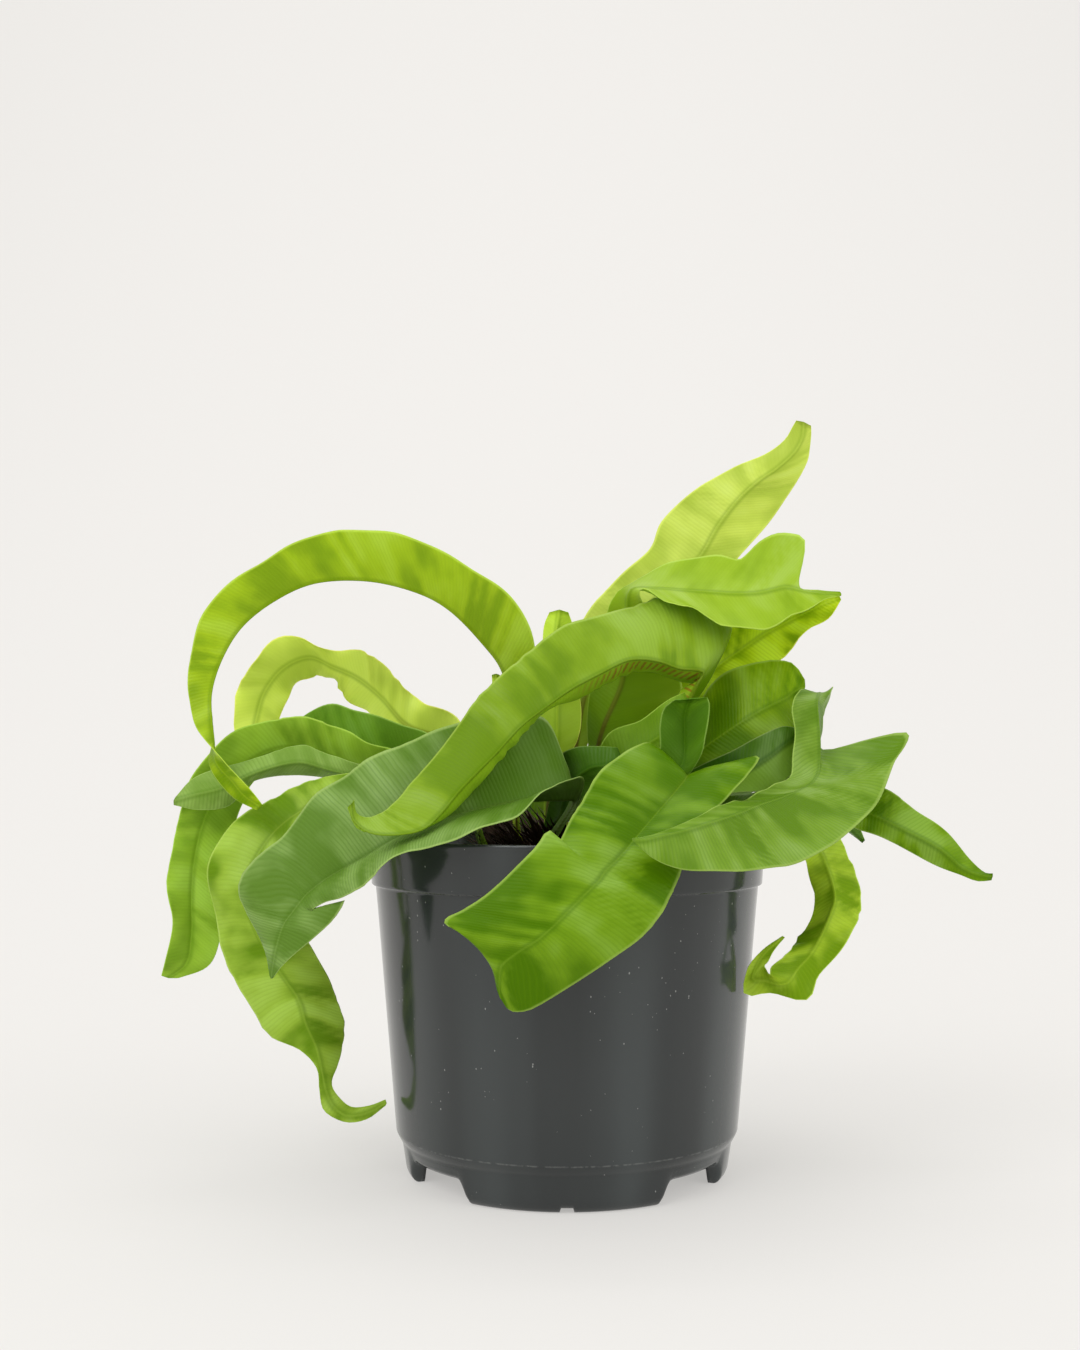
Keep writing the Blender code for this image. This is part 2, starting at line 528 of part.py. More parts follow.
def turned(name, section, collection, material, segments):
    """A closed turned solid: its section's points, in millimetres, with a Screw round +Z."""
    bm = bmesh.new()
    points = [bm.verts.new((radius * MM, 0.0, height * MM)) for radius, height in section]
    for first, second in zip(points, points[1:]):
        bm.edges.new((first, second))
    solid = add_object(name, mesh_from(bm, name), collection, material)
    screw = solid.modifiers.new("turn", "SCREW")
    screw.steps = screw.render_steps = segments
    screw.use_merge_vertices = True
    screw.merge_threshold = 0.00001
    return solid


def cutter_cylinder(name, radius, start, end, sides, cutters):
    """A plain round cutter between two points given in millimetres."""
    axis = Vector(end) - Vector(start)
    bm = bmesh.new()
    bmesh.ops.create_cone(
        bm, cap_ends=True, segments=sides, radius1=radius * MM, radius2=radius * MM, depth=axis.length * MM
    )
    cutter = add_object(name, mesh_from(bm, name), cutters)
    cutter.location = (Vector(start) + axis / 2) * MM
    cutter.rotation_mode = "QUATERNION"
    cutter.rotation_quaternion = axis.to_track_quat("Z", "Y")
    cutter.hide_render = True
    cutter.display_type = "WIRE"
    return cutter


def cut(target, cutter):
    boolean = target.modifiers.new("cut " + cutter.name, "BOOLEAN")
    boolean.operation = "DIFFERENCE"
    boolean.solver = "EXACT"
    boolean.object = cutter


def pot_inner_radius(height):
    """The inside of the pot's body at a height, in millimetres."""
    share = (height - BODY_BOTTOM[1]) / (BAND_BOTTOM[1] - BODY_BOTTOM[1])
    return BODY_BOTTOM[0] + share * (BODY_TOP_RADIUS - BODY_BOTTOM[0]) - WALL


def build_pot(collection, cutters, material):
    floor_top = FLOOR_BOTTOM + FLOOR_THICKNESS
    step_inner = FOOT_TOP[0] - WALL
    section = [
        (0.0, floor_top),
        (step_inner - 1.0, floor_top),
        (step_inner, FOOT_TOP[1]),
        (BODY_BOTTOM[0] - WALL, BODY_BOTTOM[1] + 1.0),
        (BODY_TOP_RADIUS - WALL, BAND_BOTTOM[1] + 0.4),
        (BAND_BOTTOM[0] - WALL, BAND_BOTTOM[1] + 3.0),
        (RIM_TOP[0] - WALL, RIM_TOP[1] - LIP_ROUND),
        (RIM_TOP[0] - WALL + LIP_ROUND / 2, RIM_TOP[1]),
        (RIM_TOP[0] - LIP_ROUND / 2, RIM_TOP[1]),
        (RIM_TOP[0], RIM_TOP[1] - LIP_ROUND),
        BAND_BOTTOM,
        (BODY_TOP_RADIUS, BAND_BOTTOM[1] - 0.3),
        BODY_BOTTOM,
        (BODY_BOTTOM[0] - 0.5, BODY_BOTTOM[1] - 2.0),
        FOOT_TOP,
        (FOOT_WALL_RADIUS, FOOT_WALL_TOP),
        FOOT_ROUND,
        (GROUND_RING[1], 0.0),
        (GROUND_RING[0], 0.0),
        (FOOT_ROUND[0] - WALL, FOOT_ROUND[1] + WALL),
        (FOOT_WALL_RADIUS - WALL, FLOOR_BOTTOM),
        (0.0, FLOOR_BOTTOM),
    ]
    pot = turned("pot", section, collection, material, POT_SEGMENTS)
    for number, bearing in enumerate(FOOT_GAP_BEARINGS):
        cut(pot, foot_gap_cutter(f"foot_gap_{number + 1}", bearing, cutters))
    for number in range(DRAIN_HOLES):
        angle = 2 * pi * (number + DRAIN_TURN) / DRAIN_HOLES
        place = (DRAIN_CIRCLE * cos(angle), DRAIN_CIRCLE * sin(angle))
        low = (*place, FLOOR_BOTTOM - CUTTER_OVERSHOOT)
        high = (*place, floor_top + CUTTER_OVERSHOOT)
        cut(pot, cutter_cylinder(f"drain_{number + 1}", DRAIN_RADIUS, low, high, 12, cutters))
    return pot


def foot_gap_cutter(name, bearing, cutters):
    """A rounded trapezium that opens the foot wall between two feet, in its own frame along +X."""
    half = FOOT_GAP_WIDTH / 2
    right = (
        (half - FOOT_GAP_CORNER, FOOT_GAP_HEIGHT),
        (half, FOOT_GAP_HEIGHT - FOOT_GAP_CORNER),
        (half + FOOT_GAP_FLARE, -CUTTER_OVERSHOOT),
    )
    outline = [(-side, height) for side, height in reversed(right)] + list(right)
    near_end, far_end = FOOT_GAP_REACH
    bm = bmesh.new()
    near = [bm.verts.new((near_end * MM, side * MM, height * MM)) for side, height in outline]
    bm.faces.new(near)
    pushed = bmesh.ops.extrude_face_region(bm, geom=bm.faces[:])
    corners = [item for item in pushed["geom"] if isinstance(item, bmesh.types.BMVert)]
    bmesh.ops.translate(bm, vec=((far_end - near_end) * MM, 0.0, 0.0), verts=corners)
    bmesh.ops.recalc_face_normals(bm, faces=bm.faces)
    cutter = add_object(name, mesh_from(bm, name), cutters)
    cutter.rotation_euler = (0.0, 0.0, radians(bearing))
    cutter.hide_render = True
    cutter.display_type = "WIRE"
    return cutter


def build_soil(collection, material):
    """Fills the pot up to below the rim, with a lumpy top and a plain round socket for the crown."""
    floor = FLOOR_BOTTOM + FLOOR_THICKNESS + CLEARANCE
    socket = CROWN_RADIUS + CLEARANCE
    outside = pot_inner_radius(SOIL_TOP - SOIL_EDGE) - CLEARANCE
    low_corner = BODY_BOTTOM[1] + 2.0
    section = [
        (0.0, CROWN_BOTTOM - CLEARANCE),
        (socket, CROWN_BOTTOM - CLEARANCE),
        (socket, SOIL_TOP),
        *((socket + ring, SOIL_TOP) for ring in SOIL_TOP_RINGS),
        (outside - SOIL_EDGE, SOIL_TOP),
        (outside, SOIL_TOP - SOIL_EDGE),
        (pot_inner_radius(low_corner) - 2.0 * CLEARANCE, low_corner),
        (FOOT_TOP[0] - WALL - 1.6, FOOT_TOP[1] + 1.0),
        (FOOT_TOP[0] - WALL - 2.4, floor),
        (0.0, floor),
    ]
    soil = turned("soil", section, collection, material, TURNED_SEGMENTS)
    applied = bpy.data.meshes.new_from_object(soil.evaluated_get(bpy.context.evaluated_depsgraph_get()))
    soil.modifiers.clear()
    soil.data = applied
    for vertex in applied.vertices:
        x, y, z = vertex.co / MM
        radius = (x * x + y * y) ** 0.5
        if z > SOIL_TOP - 0.01 and socket + 0.1 < radius < outside - 0.1:
            lump = 0.5 * sin(0.31 * x + 1.1) + 0.5 * sin(0.37 * y + 0.23 * x)
            vertex.co.z += SOIL_RISE * lump * MM
    return soil


def stalk_line(ring, bearing):
    """The foot of a stalk and its direction out of the crown, in millimetres."""
    radius, surface, lean = RINGS[ring]
    angle = radians(bearing)
    foot = Vector((radius * cos(angle), radius * sin(angle), surface - STALK_DEPTH))
    tilt = radians(lean)
    direction = Vector((sin(tilt) * cos(angle), sin(tilt) * sin(angle), cos(tilt)))
    return foot, direction


def build_crown(collection, cutters, material):
    """The scaly dome that the stalks stand in, each in a plain round hole."""
    section = [*CROWN_SECTION, (0.0, CROWN_BOTTOM)]
    crown = turned("crown", section, collection, material, TURNED_SEGMENTS)
    for name, (ring, bearing, *_) in FRONDS.items():
        foot, direction = stalk_line(ring, bearing)
        start, end = foot - direction * CLEARANCE, foot + direction * HOLE_LENGTH
        cut(crown, cutter_cylinder("hole_" + name, HOLE_RADIUS, start, end, 8, cutters))
    return crown


def placed(point):
    """A place of the front view, u, v and depth y, as a point of the part in millimetres."""
    u, v, y = point
    share = (VIEW_DISTANCE + y) / VIEW_DISTANCE
    return (u * share, y, VIEW_HEIGHT + (v - VIEW_HEIGHT) * share)


def stations_of(ring, bearing, rows):
    """The stations in millimetres, from the stalk's foot: one edge, the midrib and the other edge."""
    foot, direction = stalk_line(ring, bearing)
    stations = [[np.array(placed(point)) for point in row] for row in rows]
    tangent = np.array((-sin(radians(bearing)), cos(radians(bearing)), 0.0)) * STALK_WIDTH / 2
    if np.dot(stations[0][0] - stations[0][2], tangent) < 0:
        tangent = -tangent
    for height in (STALK_STRAIGHT, 0.0):
        centre = np.array(foot + direction * height)
        stations.insert(0, [centre + tangent, centre, centre - tangent])
    return np.array(stations)


def smooth_through(stations, steps):
    """Points at even lengths along a smooth curve through the stations."""
    middle = stations.mean(axis=1)
    lengths = np.linalg.norm(np.diff(middle, axis=0), axis=1)
    knots = np.concatenate(([0.0], np.cumsum(np.sqrt(lengths * lengths.mean()))))
    slopes = np.gradient(stations, knots, axis=0)
    fine = np.linspace(0.0, knots[-1], CURVE_SAMPLES * len(stations))
    curve = hermite(stations, slopes, knots, fine)
    run = np.linalg.norm(np.diff(curve.mean(axis=1), axis=0), axis=1)
    travelled = np.concatenate(([0.0], np.cumsum(run)))
    even = np.interp(np.linspace(0.0, travelled[-1], steps + 1), travelled, fine)
    return hermite(stations, slopes, knots, even)


def hermite(values, slopes, knots, at):
    index = np.clip(np.searchsorted(knots, at, side="right") - 1, 0, len(knots) - 2)
    gap = knots[index + 1] - knots[index]
    part = ((at - knots[index]) / gap)[:, None, None]
    gap = gap[:, None, None]
    start, end = values[index], values[index + 1]
    leave, arrive = slopes[index] * gap, slopes[index + 1] * gap
    cubic, square = part**3, part**2
    return (
        (2 * cubic - 3 * square + 1) * start
        + (cubic - 2 * square + part) * leave
        + (3 * square - 2 * cubic) * end
        + (cubic - square) * arrive
    )


def blade_points(ring, bearing, steps, wave, rows):
    """The blade's grid of points in millimetres, with its edges waved across their own plane."""
    lines = smooth_through(stations_of(ring, bearing, rows), steps)
    along = np.gradient(lines[:, 1], axis=0)
    normal = np.cross(along, lines[:, 2] - lines[:, 0])
    normal /= np.linalg.norm(normal, axis=1)[:, None]
    share = np.linspace(0.0, 1.0, steps + 1)
    height, waves, phase = wave
    grow, fade = WAVE_FADES
    strength = np.clip((share - WAVE_START) * grow, 0.0, 1.0) * np.clip((1.0 - share) * fade, 0.0, 1.0)
    grid = []
    for across in ACROSS:
        edge = lines[:, 0] if across < 0 else lines[:, 2]
        line = lines[:, 1] + abs(across) * (edge - lines[:, 1])
        turn = 2 * pi * (waves * share + phase + (WAVE_LAG if across < 0 else 0.0))
        line = line + normal * (height * across**2 * strength * np.sin(turn))[:, None]
        grid.append(line)
    return np.array(grid).transpose(1, 0, 2)


def build_frond(name, collection, materials):
    ring, bearing, steps, wave, colour, rows = FRONDS[name]
    grid = blade_points(ring, bearing, steps, wave, rows)
    bm = bmesh.new()
    verts = [[bm.verts.new(Vector(point) * MM) for point in line] for line in grid]
    for near, far in zip(verts, verts[1:]):
        for column in range(len(ACROSS) - 1):
            bm.faces.new((near[column], near[column + 1], far[column + 1], far[column]))
    bmesh.ops.triangulate(bm, faces=bm.faces[:])
    frond = add_object(name, mesh_from(bm, name), collection, materials[colour])
    stoutness = frond.vertex_groups.new(name="stoutness")
    stalk_steps = max(2, round(steps * STALK_SHARE))
    for step in range(steps + 1):
        stalk = max(0.0, 1.0 - step / stalk_steps)
        rib = MIDRIB_WEIGHT * (1.0 - step / steps)
        for column, across in enumerate(ACROSS):
            weight = max(stalk, rib if across == 0 else 0.0)
            stoutness.add([step * len(ACROSS) + column], weight, "REPLACE")
    shell = frond.modifiers.new("thickness", "SOLIDIFY")
    shell.thickness = STALK_THICKNESS * MM
    shell.offset = 0.0
    shell.use_rim = True
    shell.vertex_group = stoutness.name
    shell.thickness_vertex_group = BLADE_THICKNESS / STALK_THICKNESS
    return frond


def main():
    for old in list(bpy.data.objects):
        bpy.data.objects.remove(old, do_unlink=True)
    parts = bpy.data.collections.new("potted_birds_nest_fern")
    cutters = bpy.data.collections.new("cutters")
    bpy.context.scene.collection.children.link(parts)
    bpy.context.scene.collection.children.link(cutters)
    cutters.hide_render = True
    build_pot(parts, cutters, make_material("pot_plastic", (0.055, 0.055, 0.056), 0.35))
    build_soil(parts, make_material("potting_soil", (0.025, 0.016, 0.010), 0.95))
    build_crown(parts, cutters, make_material("crown_scales", (0.06, 0.035, 0.015), 0.85))
    greens = {name: make_material("leaf_" + name, colour, 0.4) for name, colour in COLOURS.items()}
    for name in FRONDS:
        build_frond(name, parts, greens)
    for solid in parts.objects:
        solid.data.shade_smooth()


main()
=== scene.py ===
"""A potted bird's nest fern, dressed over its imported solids: pot, potting mix, crown and every frond.

All places are millimetres in the part's own frame and turn into metres where a mesh is made.
"""

from math import cos, hypot, pi, radians, sin

import bmesh
import bpy
import numpy as np
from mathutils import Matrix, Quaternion, Vector


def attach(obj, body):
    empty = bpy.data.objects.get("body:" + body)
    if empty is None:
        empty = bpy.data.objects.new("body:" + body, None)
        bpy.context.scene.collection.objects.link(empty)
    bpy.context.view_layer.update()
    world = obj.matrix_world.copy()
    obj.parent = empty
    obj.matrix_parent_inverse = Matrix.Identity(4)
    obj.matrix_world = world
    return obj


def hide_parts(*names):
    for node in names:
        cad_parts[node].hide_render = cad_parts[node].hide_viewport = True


bl_info = {
    "name": "Potted bird's nest fern",
    "version": (1, 0, 0),
    "blender": (4, 5, 0),
    "location": "3D View > Sidebar > Fern",
    "description": "Builds a potted bird's nest fern with its pot, potting mix, crown and fronds",
    "category": "Object",
}

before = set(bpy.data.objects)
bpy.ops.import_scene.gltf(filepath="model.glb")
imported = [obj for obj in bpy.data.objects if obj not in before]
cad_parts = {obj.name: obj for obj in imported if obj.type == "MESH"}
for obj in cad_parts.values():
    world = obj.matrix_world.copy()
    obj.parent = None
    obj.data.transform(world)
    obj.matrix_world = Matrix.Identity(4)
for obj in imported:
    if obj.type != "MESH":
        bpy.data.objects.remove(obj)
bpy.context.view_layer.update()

MM = 0.001
UP = np.array((0.0, 0.0, 1.0))
SEED = 7

# Pot, in millimetres; a pair is the radius and the height of a corner of its section
RIM_TOP = (78.4, 132.5)
BAND_BOTTOM = (77.3, 114.3)
BODY_TOP_RADIUS = 75.7
BODY_BOTTOM = (67.7, 18.0)
FOOT_TOP = (65.3, 13.8)
FOOT_WALL_RADIUS = 64.0
GROUND_RING = (58.4, 60.6)
WALL = 1.5
FLOOR_BOTTOM = 9.2
FLOOR_THICKNESS = 1.6
FOOT_GAP_BEARINGS = (-39.5, 90.0, 217.5)
DRAIN_HOLES = 6
DRAIN_RADIUS = 4.5
DRAIN_CIRCLE = 38.0
DRAIN_TURN = 0.37

# Soil and crown
CLEARANCE = 0.3
SOIL_TOP = 118.5
SOIL_RISE = 2.2
CROWN_RADIUS = 33.0
CROWN_BOTTOM = 104.0
CROWN_SECTION = (
    (0.0, 133.0), (10.0, 132.6), (20.0, 130.4), (28.0, 126.4), (32.0, 121.6), (33.0, 117.0), (33.0, 104.0),
)

# Stalks and blades
STALK_DEPTH = 9.0
STALK_WIDTH = 4.4
STALK_THICKNESS = 2.4
STALK_STRAIGHT = 14.0
STALK_SHARE = 0.12
WAVE_LAG = 0.3
WAVE_START = 0.18
WAVE_FADES = (5.0, 6.0)
CURVE_SAMPLES = 40

# The crown's rings of stalks: radius, height of the crown's surface there and lean away from upright
RINGS = {
    "inner": (8.0, 132.8, 6.0),
    "middle": (17.0, 131.2, 18.0),
    "outer": (27.0, 126.9, 34.0),
}

# The fronds' places are measured in a front view: u to the right and v up, in the upright plane through
# the pot's axis, as seen from a point this far in front of it and this high, and then the depth y.
VIEW_DISTANCE = 600.0
VIEW_HEIGHT = 157.0

# Each frond: its ring and bearing on the crown, its edge wave (height, waves along the blade, phase), the
# heights of its ruffles and folds, its colour, its tint, and its stations from the stalk to the tip. Nine
# numbers make a station: the midrib's u, v and y stand between the steps from it to the one edge and the other.
# A frond's tint scales its colour to how bright it looks, holding painted light and shade as well as its own tone
FRONDS = {
    "frond_arch_left": ("middle", 165, (0.8, 5, 0), 0.3, 0.16, "yellow_green", (1.29, 1.29, 0.14), (
        1, 0, -4, -20, 160, 7, 1, 0, 4,  7, 2, -5, -22, 180, 9, 1, 2, 7,  13, 9, -5, -26, 199, 9, 2, 4, 12,
        14, 15, -5, -34, 210, 10, 3, 4, 14,  9, 17, -4, -47, 223, 11, 1, 4, 15,  1, 21, -3, -60, 230, 13, 0, 5, 16,
        -3, 19.9, -2, -80, 234.6, 14, -1, 4.4, 16,  -4, 18.4, -2, -101, 233.6, 13, -1, 4.4, 16,
        -7, 14.5, -2, -117, 226.5, 9, -2, 3.5, 15,  -11, 11, -2, -130, 216, 4, -2, 3, 14,
        -11.6, 7, -1, -138, 203, -2, -2, 2, 14,  -10, 2, 0, -142, 190, -7, -2, 1, 13,
        -7.6, 0, 1, -142, 180, -11, -1, 0, 11,  -3, 0, -3, -141, 171, -15, -1, -1, 7,
        3, 1, -3, -140, 162, -20, -3, 0, 4,  3, 1, -4, -134, 155, -25, -4.5, -1, 4,
        3, 1.6, -3, -129, 149, -29, -3.5, -1.5, 3,  1, 0.7, 0, -122.5, 144.3, -34, -1.5, -1.3, 1,
    )),
    "frond_arch_behind": ("outer", 140, (1.2, 7, 0.2), 1.8, 0.9, "pale_green", (1.99, 1.62, 3), (
        1, 5, -2, -34, 152, 27, -2, -4, 3,  3, 11, -2, -50, 171, 40, -4, -8, 4,  4, 10, -2, -64, 177, 46, -4, -8, 4,
        4, 10, -4, -74, 188, 50, -2, -9, 6,  2, 11, -4, -84, 196, 53, -2, -10, 5,  0, 6, -3, -93, 200, 54, 1, -7, 4,
        -3, 8.5, -4, -103, 204, 52, 1, -7, 8,  -6, 9, -4, -113, 200, 50, 6, -6, 7,  -9, 5, -4, -121, 190, 48, 9, -3, 6,
        -9, 2, -4, -124, 180, 46, 9, -1, 4,  -6, 0, -3, -126, 169, 43, 7, 1, 3,  -2, 0, -1, -127, 160, 40, 2, 1, 1,
    )),
    "frond_dark_behind": ("outer", 156, (0.8, 4, 0), 0.6, 0.16, "dark_green", (5, 3.13, 2.53), (
        1, 6, -3, -37, 150, 17, -2, -3, 4,  2, 12, -4, -54, 160, 24, -2, -8, 9,  1, 12, -4, -67, 165, 28, -1, -7, 10,
        0, 13, -4, -83, 170, 30, 0, -7, 9,  1, 11, -4, -96, 174, 31, 1, -7, 7,  1, 7.5, -3, -105, 174, 31, 1, -5, 4,
        1, 1.5, -1, -112, 174, 30, 0, -1.5, 1,
    )),
    "frond_hanging_left": ("outer", 172, (0.8, 8, 0), 1.1, 0.5, "mid_green", (2.8, 1.92, 3), (
        1, 7, -3, -41, 150, 7, -2, -4, 4,  1, 9, -4, -59, 154, 9, -1, -6, 9,  -1, 11, -6, -75, 158, 11, 0, -7, 11,
        1, 12, -6, -90, 163, 11, 0, -7, 11,  1, 12, -6, -106, 168, 11, 1, -10, 9,
        -2, 12, -5, -118, 167, 10, 3, -9.5, 8,  -8, 10.6, -4, -130, 160, 7, 6, -5, 6,
        -10, 7, -3, -140, 149, 4, 10, -4, 4,  -9, 4, -3, -146, 136, 2, 12, -5, 3,
        -8.5, 6, -3, -149, 122, 1, 12, -5, 2,  -10, 5, -4, -150, 108, 2, 11, -4, 0,
        -7.5, 4, -4, -150, 94, 1, 11, -4, 0,  -8.5, 1, -3, -152, 82, 1, 8, -2, 0,  -3, 1, -1, -159, 76, 3, 4, 0, 0,
    )),
    "frond_tip_left": ("outer", 188, (0.6, 5, 0.3), 0.6, 0.16, "blue_green", (4.02, 2.3, 3), (
        1, 4, 0, -41, 149, -6, -1, -4, 2,  1, 6, -2, -59, 152, -8, -1, -4, 6,  0, 6, -1, -78, 155, -7, 0, -5, 8,
        0, 6, 2, -95, 159, -7, 0, -3.4, 6,  1, 7, 5, -107, 162, -8, -2, -5, 5,  1, 6, 5, -124, 158, -9, -1, -3.5, 3,
        -1, 8, 6, -137, 152, -11, 2, -7, 3,  -1, 6, 5, -149, 149, -12, 2, -6, 1,
        1, 1.8, 1, -157, 146.7, -11, 0, -1.7, 0,
    )),
    "frond_long_hanging": ("outer", 204, (0.9, 7, 0), 0.6, 0.4, "light_green", (1.34, 1.23, 1.56), (
        1, 3, 3, -39, 147, -16, 0, -3, -3,  0, 4, 5, -58, 148, -19, 0, -3, -6,  0, 9, 4, -78, 148, -18, 0, -5, -7,
        -1, 10, 6, -95, 147, -19, 3, -7, -6,  -2, 9.5, 7, -107, 142, -20, 5, -10, -6,
        -3, 12, 8, -117, 134, -22, 9, -12, -6,  -9, 15, 8, -124, 124, -24, 13, -12, -6,
        -13, 13, 8, -128, 114, -26, 16, -10, -5,  -16, 13, 9, -127, 102, -27, 18, -5, -3,
        -19, 10, 9, -121, 88, -28, 18, 2, 1,  -24, 8, 8, -113, 76, -28, 16, 3, 5,  -21, 1, 6, -107, 67, -28, 15, 1, 8,
        -15, -4, 4, -104, 57, -28, 15, 1, 9,  -7, -0.5, 2, -100, 48, -27, 10.5, 1, 7,  -2, 1, 0, -98, 39, -26, 6, 1, 4,
        -2.5, 0, 0, -96.5, 32, -25, 2.5, 2, 1,  -3.5, -2, 0, -93.5, 25, -23, 2.5, 3.5, 1,
        -1, -2.5, 0, -88, 21, -22, 2, 3.5, 1,  0, -2.5, 0, -80, 22, -21, 1, 3, 1,
        -0.5, -1, 0, -72, 26, -20, -0.5, 1.5, 0,
    )),
    "frond_broad_front_left": ("outer", 258, (1, 5, 0), 0.6, 0.16, "blue_green", (3.22, 1.91, 2.85), (
        -1, 4, 4, 3, 146, -38, 2, 1, -5,  1, 19, 9, -3, 147, -42, 9, 9, -16,
        6, 33.4, 18, -15, 146.6, -45, 7, 4.4, -23,  3, 37.4, 20, -28, 144.6, -47, 7, -3.6, -29,
        2, 38, 20, -44, 141, -49, 5, -8, -30,  -1, 36.5, 18, -57, 136.5, -50, 4, -7.9, -28,
        -4, 34.4, 14, -70, 130.6, -50, 6, -3.6, -26,  -7, 34, 12, -81, 124, -49, 7, -5, -24,
        -9, 31.5, 12, -91, 118.5, -50, 8, -6.5, -20,  -9, 27, 11, -98, 114, -51, 8, -5.6, -14,
        -10, 22, 11, -104, 109, -52, 7, -2.5, -8,  -14, 20.5, 11, -107, 105.5, -53, 5.5, -3, -4,
        -18.5, 18, 11, -109.5, 102, -53, 13.5, 2, -5,  -19.5, 15.5, 10, -111.5, 99.5, -53, 22.7, 7.5, -7,
        -18, 13, 11, -113.5, 96, -54, 21.5, 4.5, -7,  -13, 10.5, 9, -115, 91.5, -54, 12.5, -0.5, -6,
        -6.6, 7, 7, -116.4, 86, -54, 6.9, -1, -4,  -2.7, 4.5, 4, -117.3, 80.5, -53, 2.8, -0.5, -3,
        -0.7, 1.3, 1, -118, 75.7, -53, 1, 0.8, -1,
    )),
    "frond_central_ribbon": ("middle", 356, (0.8, 7, 0), 0.6, 0.5, "bright_green", (1.27, 1.1, 0.35), (
        0, 1, 3, 33, 159, -12, 0, -1, -3,  3, 2, 4, 47, 183, -17, -4, 1, -2,  7, 6, 6, 52, 193, -20, -6, -1, 6,
        12, 17.5, 16, 54, 198.5, -21, -2, -5.5, 12,  13, 24.5, 22, 45, 199.5, -24, 0, -5, 15,
        8, 26.5, 23, 36, 202.5, -27, 1, -5, 16,  3, 22, 22, 25, 203, -31, 2, -5, 16,
        -1, 23, 15, 13, 197.5, -35, 3, -4, 16,  -3, 25.5, 12, 1, 191, -39, 4, -3.5, 16,
        -4, 24, 10, -10, 183, -45, 4, 1, 13,  -6, 22, 10, -19, 176, -50, 5, 1, 12,
        -8, 21.5, 10, -28, 166, -54, 5, 1, 11,  -8, 18, 10, -36, 158, -58, 5, 0, 10,
        -10, 13.5, 9, -44, 149.5, -61, 5, -0.5, 9,  -11, 13, 9, -51, 141, -65, 4, 0, 8,
        -11, 11, 10, -58, 135, -69, 4, 2, 8,  -5, 9, 10, -69, 133, -71, 3, 1.5, 9,
        -1, 6, 7, -79, 134, -71, 3, -0.5, 7,  1.5, 3, 3.5, -85.5, 139, -69.5, 1.5, -3, 4.5,
        1.5, 2, 0.5, -86.5, 145, -68.5, -1, -1, 2.5,
    )),
    "frond_bright_front": ("outer", 300, (1, 4, 0), 0.6, 0.35, "deep_green", (1.84, 1.22, 1.83), (
        -4, 1, 4, 30, 144, -38, 4, 1, -4,  -10, 8, 5, 43, 154, -48, 13, 1, 0,
        -15, 14.5, 5, 48, 156.5, -55, 28, 7.5, 6,  -18, 17, 4, 44, 151, -62, 28, 6, 4,
        -20, 18.5, 5, 38, 144, -69, 27, 5.5, 3,  -21, 18, 6, 32, 137, -77, 26, 5, 3,
        -20, 17, 7, 26, 130, -85, 26, 3, 3,  -19, 16, 6, 20, 123, -91, 27, 0, 3,
        -19.5, 11.5, 5, 15, 118, -94, 30, -1, 4,  -20, 20, 4, 13, 115, -95, 31, -1, 3,
        -22.5, 16, 5, 10, 112, -97, 32, -2, 3,  -24, 14.5, 5, 3, 105, -99, 35, -3, 3,
        -27, 12.5, 5, -5, 97, -101, 34, -5.5, 3,  -29, 12.5, 5, -12, 91, -102, 26, -10, 3,
        -29, 12, 3, -20, 86, -101, 19, -15, 3,  -15, 12, 1, -26, 81, -100, 12, -17.5, 4,
        -4, 9, 0, -27, 74, -98, 6, -11.5, 3,  -1.5, 4, 0, -26.5, 68, -96, 2.5, -4, 1,
    )),
    "frond_large_right": ("outer", 12, (0.8, 6, 0), 0.6, 0.15, "mid_blue_green", (1.53, 1.21, 0.67), (
        -1, 2, 4, 47, 146, 10, 0, -1, -4,  -1, 2, 6, 71, 150, 16, 0, -1, -7,  0, 2, 8, 90, 162, 18, 0, 1, -9,
        2, 2, 10, 99, 176, 18, -2, 2, -9,  5, 1.5, 12, 101, 189.5, 6, -5, 1.5, -9,  4, 2, 11, 100, 185, -8, -10, 2, -9,
        1, 3, 12, 101, 172, -14, -10, 4, -9,  2, 4, 14, 101, 163, -18, -10, 3, -10,
        17.5, 12, 26, 100.5, 158, -24, -10.5, 0, -10,  37, 19, 35, 98, 154, -31, -12, 0, -11,
        38, 12, 32, 93, 151, -40, -13, 0.5, -10,  38, -2, 25, 86, 148, -51, -13, 0.5, -7,
        33, -13, 15, 77, 145, -63, -12, 1, -5,  27, -18, 8, 67, 141, -76, -10, 2, -3,
        20, -18.5, 3, 56, 137.5, -87, -7, 1.5, -1,  14, -16, 1, 46, 134.5, -95, -5, 1, 0,
        8, -13, 0, 37, 132.5, -100, -3, 0.5, 1,  4, -7, 0, 30, 131, -102, -1, 1, 1,
        1, -1, 0, 26, 131, -102, 0, 0.8, 0,
    )),
    "frond_upper_right": ("inner", 20, (0.8, 5, 0), 0.6, 0.16, "pale_green", (0.96, 1.02, 0.5), (
        -2, 1, 4, 11, 162, 1, 4, 0, -4,  -6.5, 2, 6, 14.5, 176, 0, 15.5, -1, -3,  -12, 2, 5, 22, 194, 2, 24, -5, 0,
        -10, 2, 6, 24, 214, 2, 14, -4, 0,  -3.5, 1, 9, 25.5, 231, -3, 4.5, -1, -6,
        -2, 7.5, 14, 36, 231.5, -6, 4, -4.5, -12,  0, 12.4, 15, 48, 230.6, -7, 4, -7.6, -14,
        2, 14.5, 14, 58, 230, -8, 4, -13.5, -13,  1.5, 14.3, 13, 67, 229.4, -9, 3, -14.4, -12,
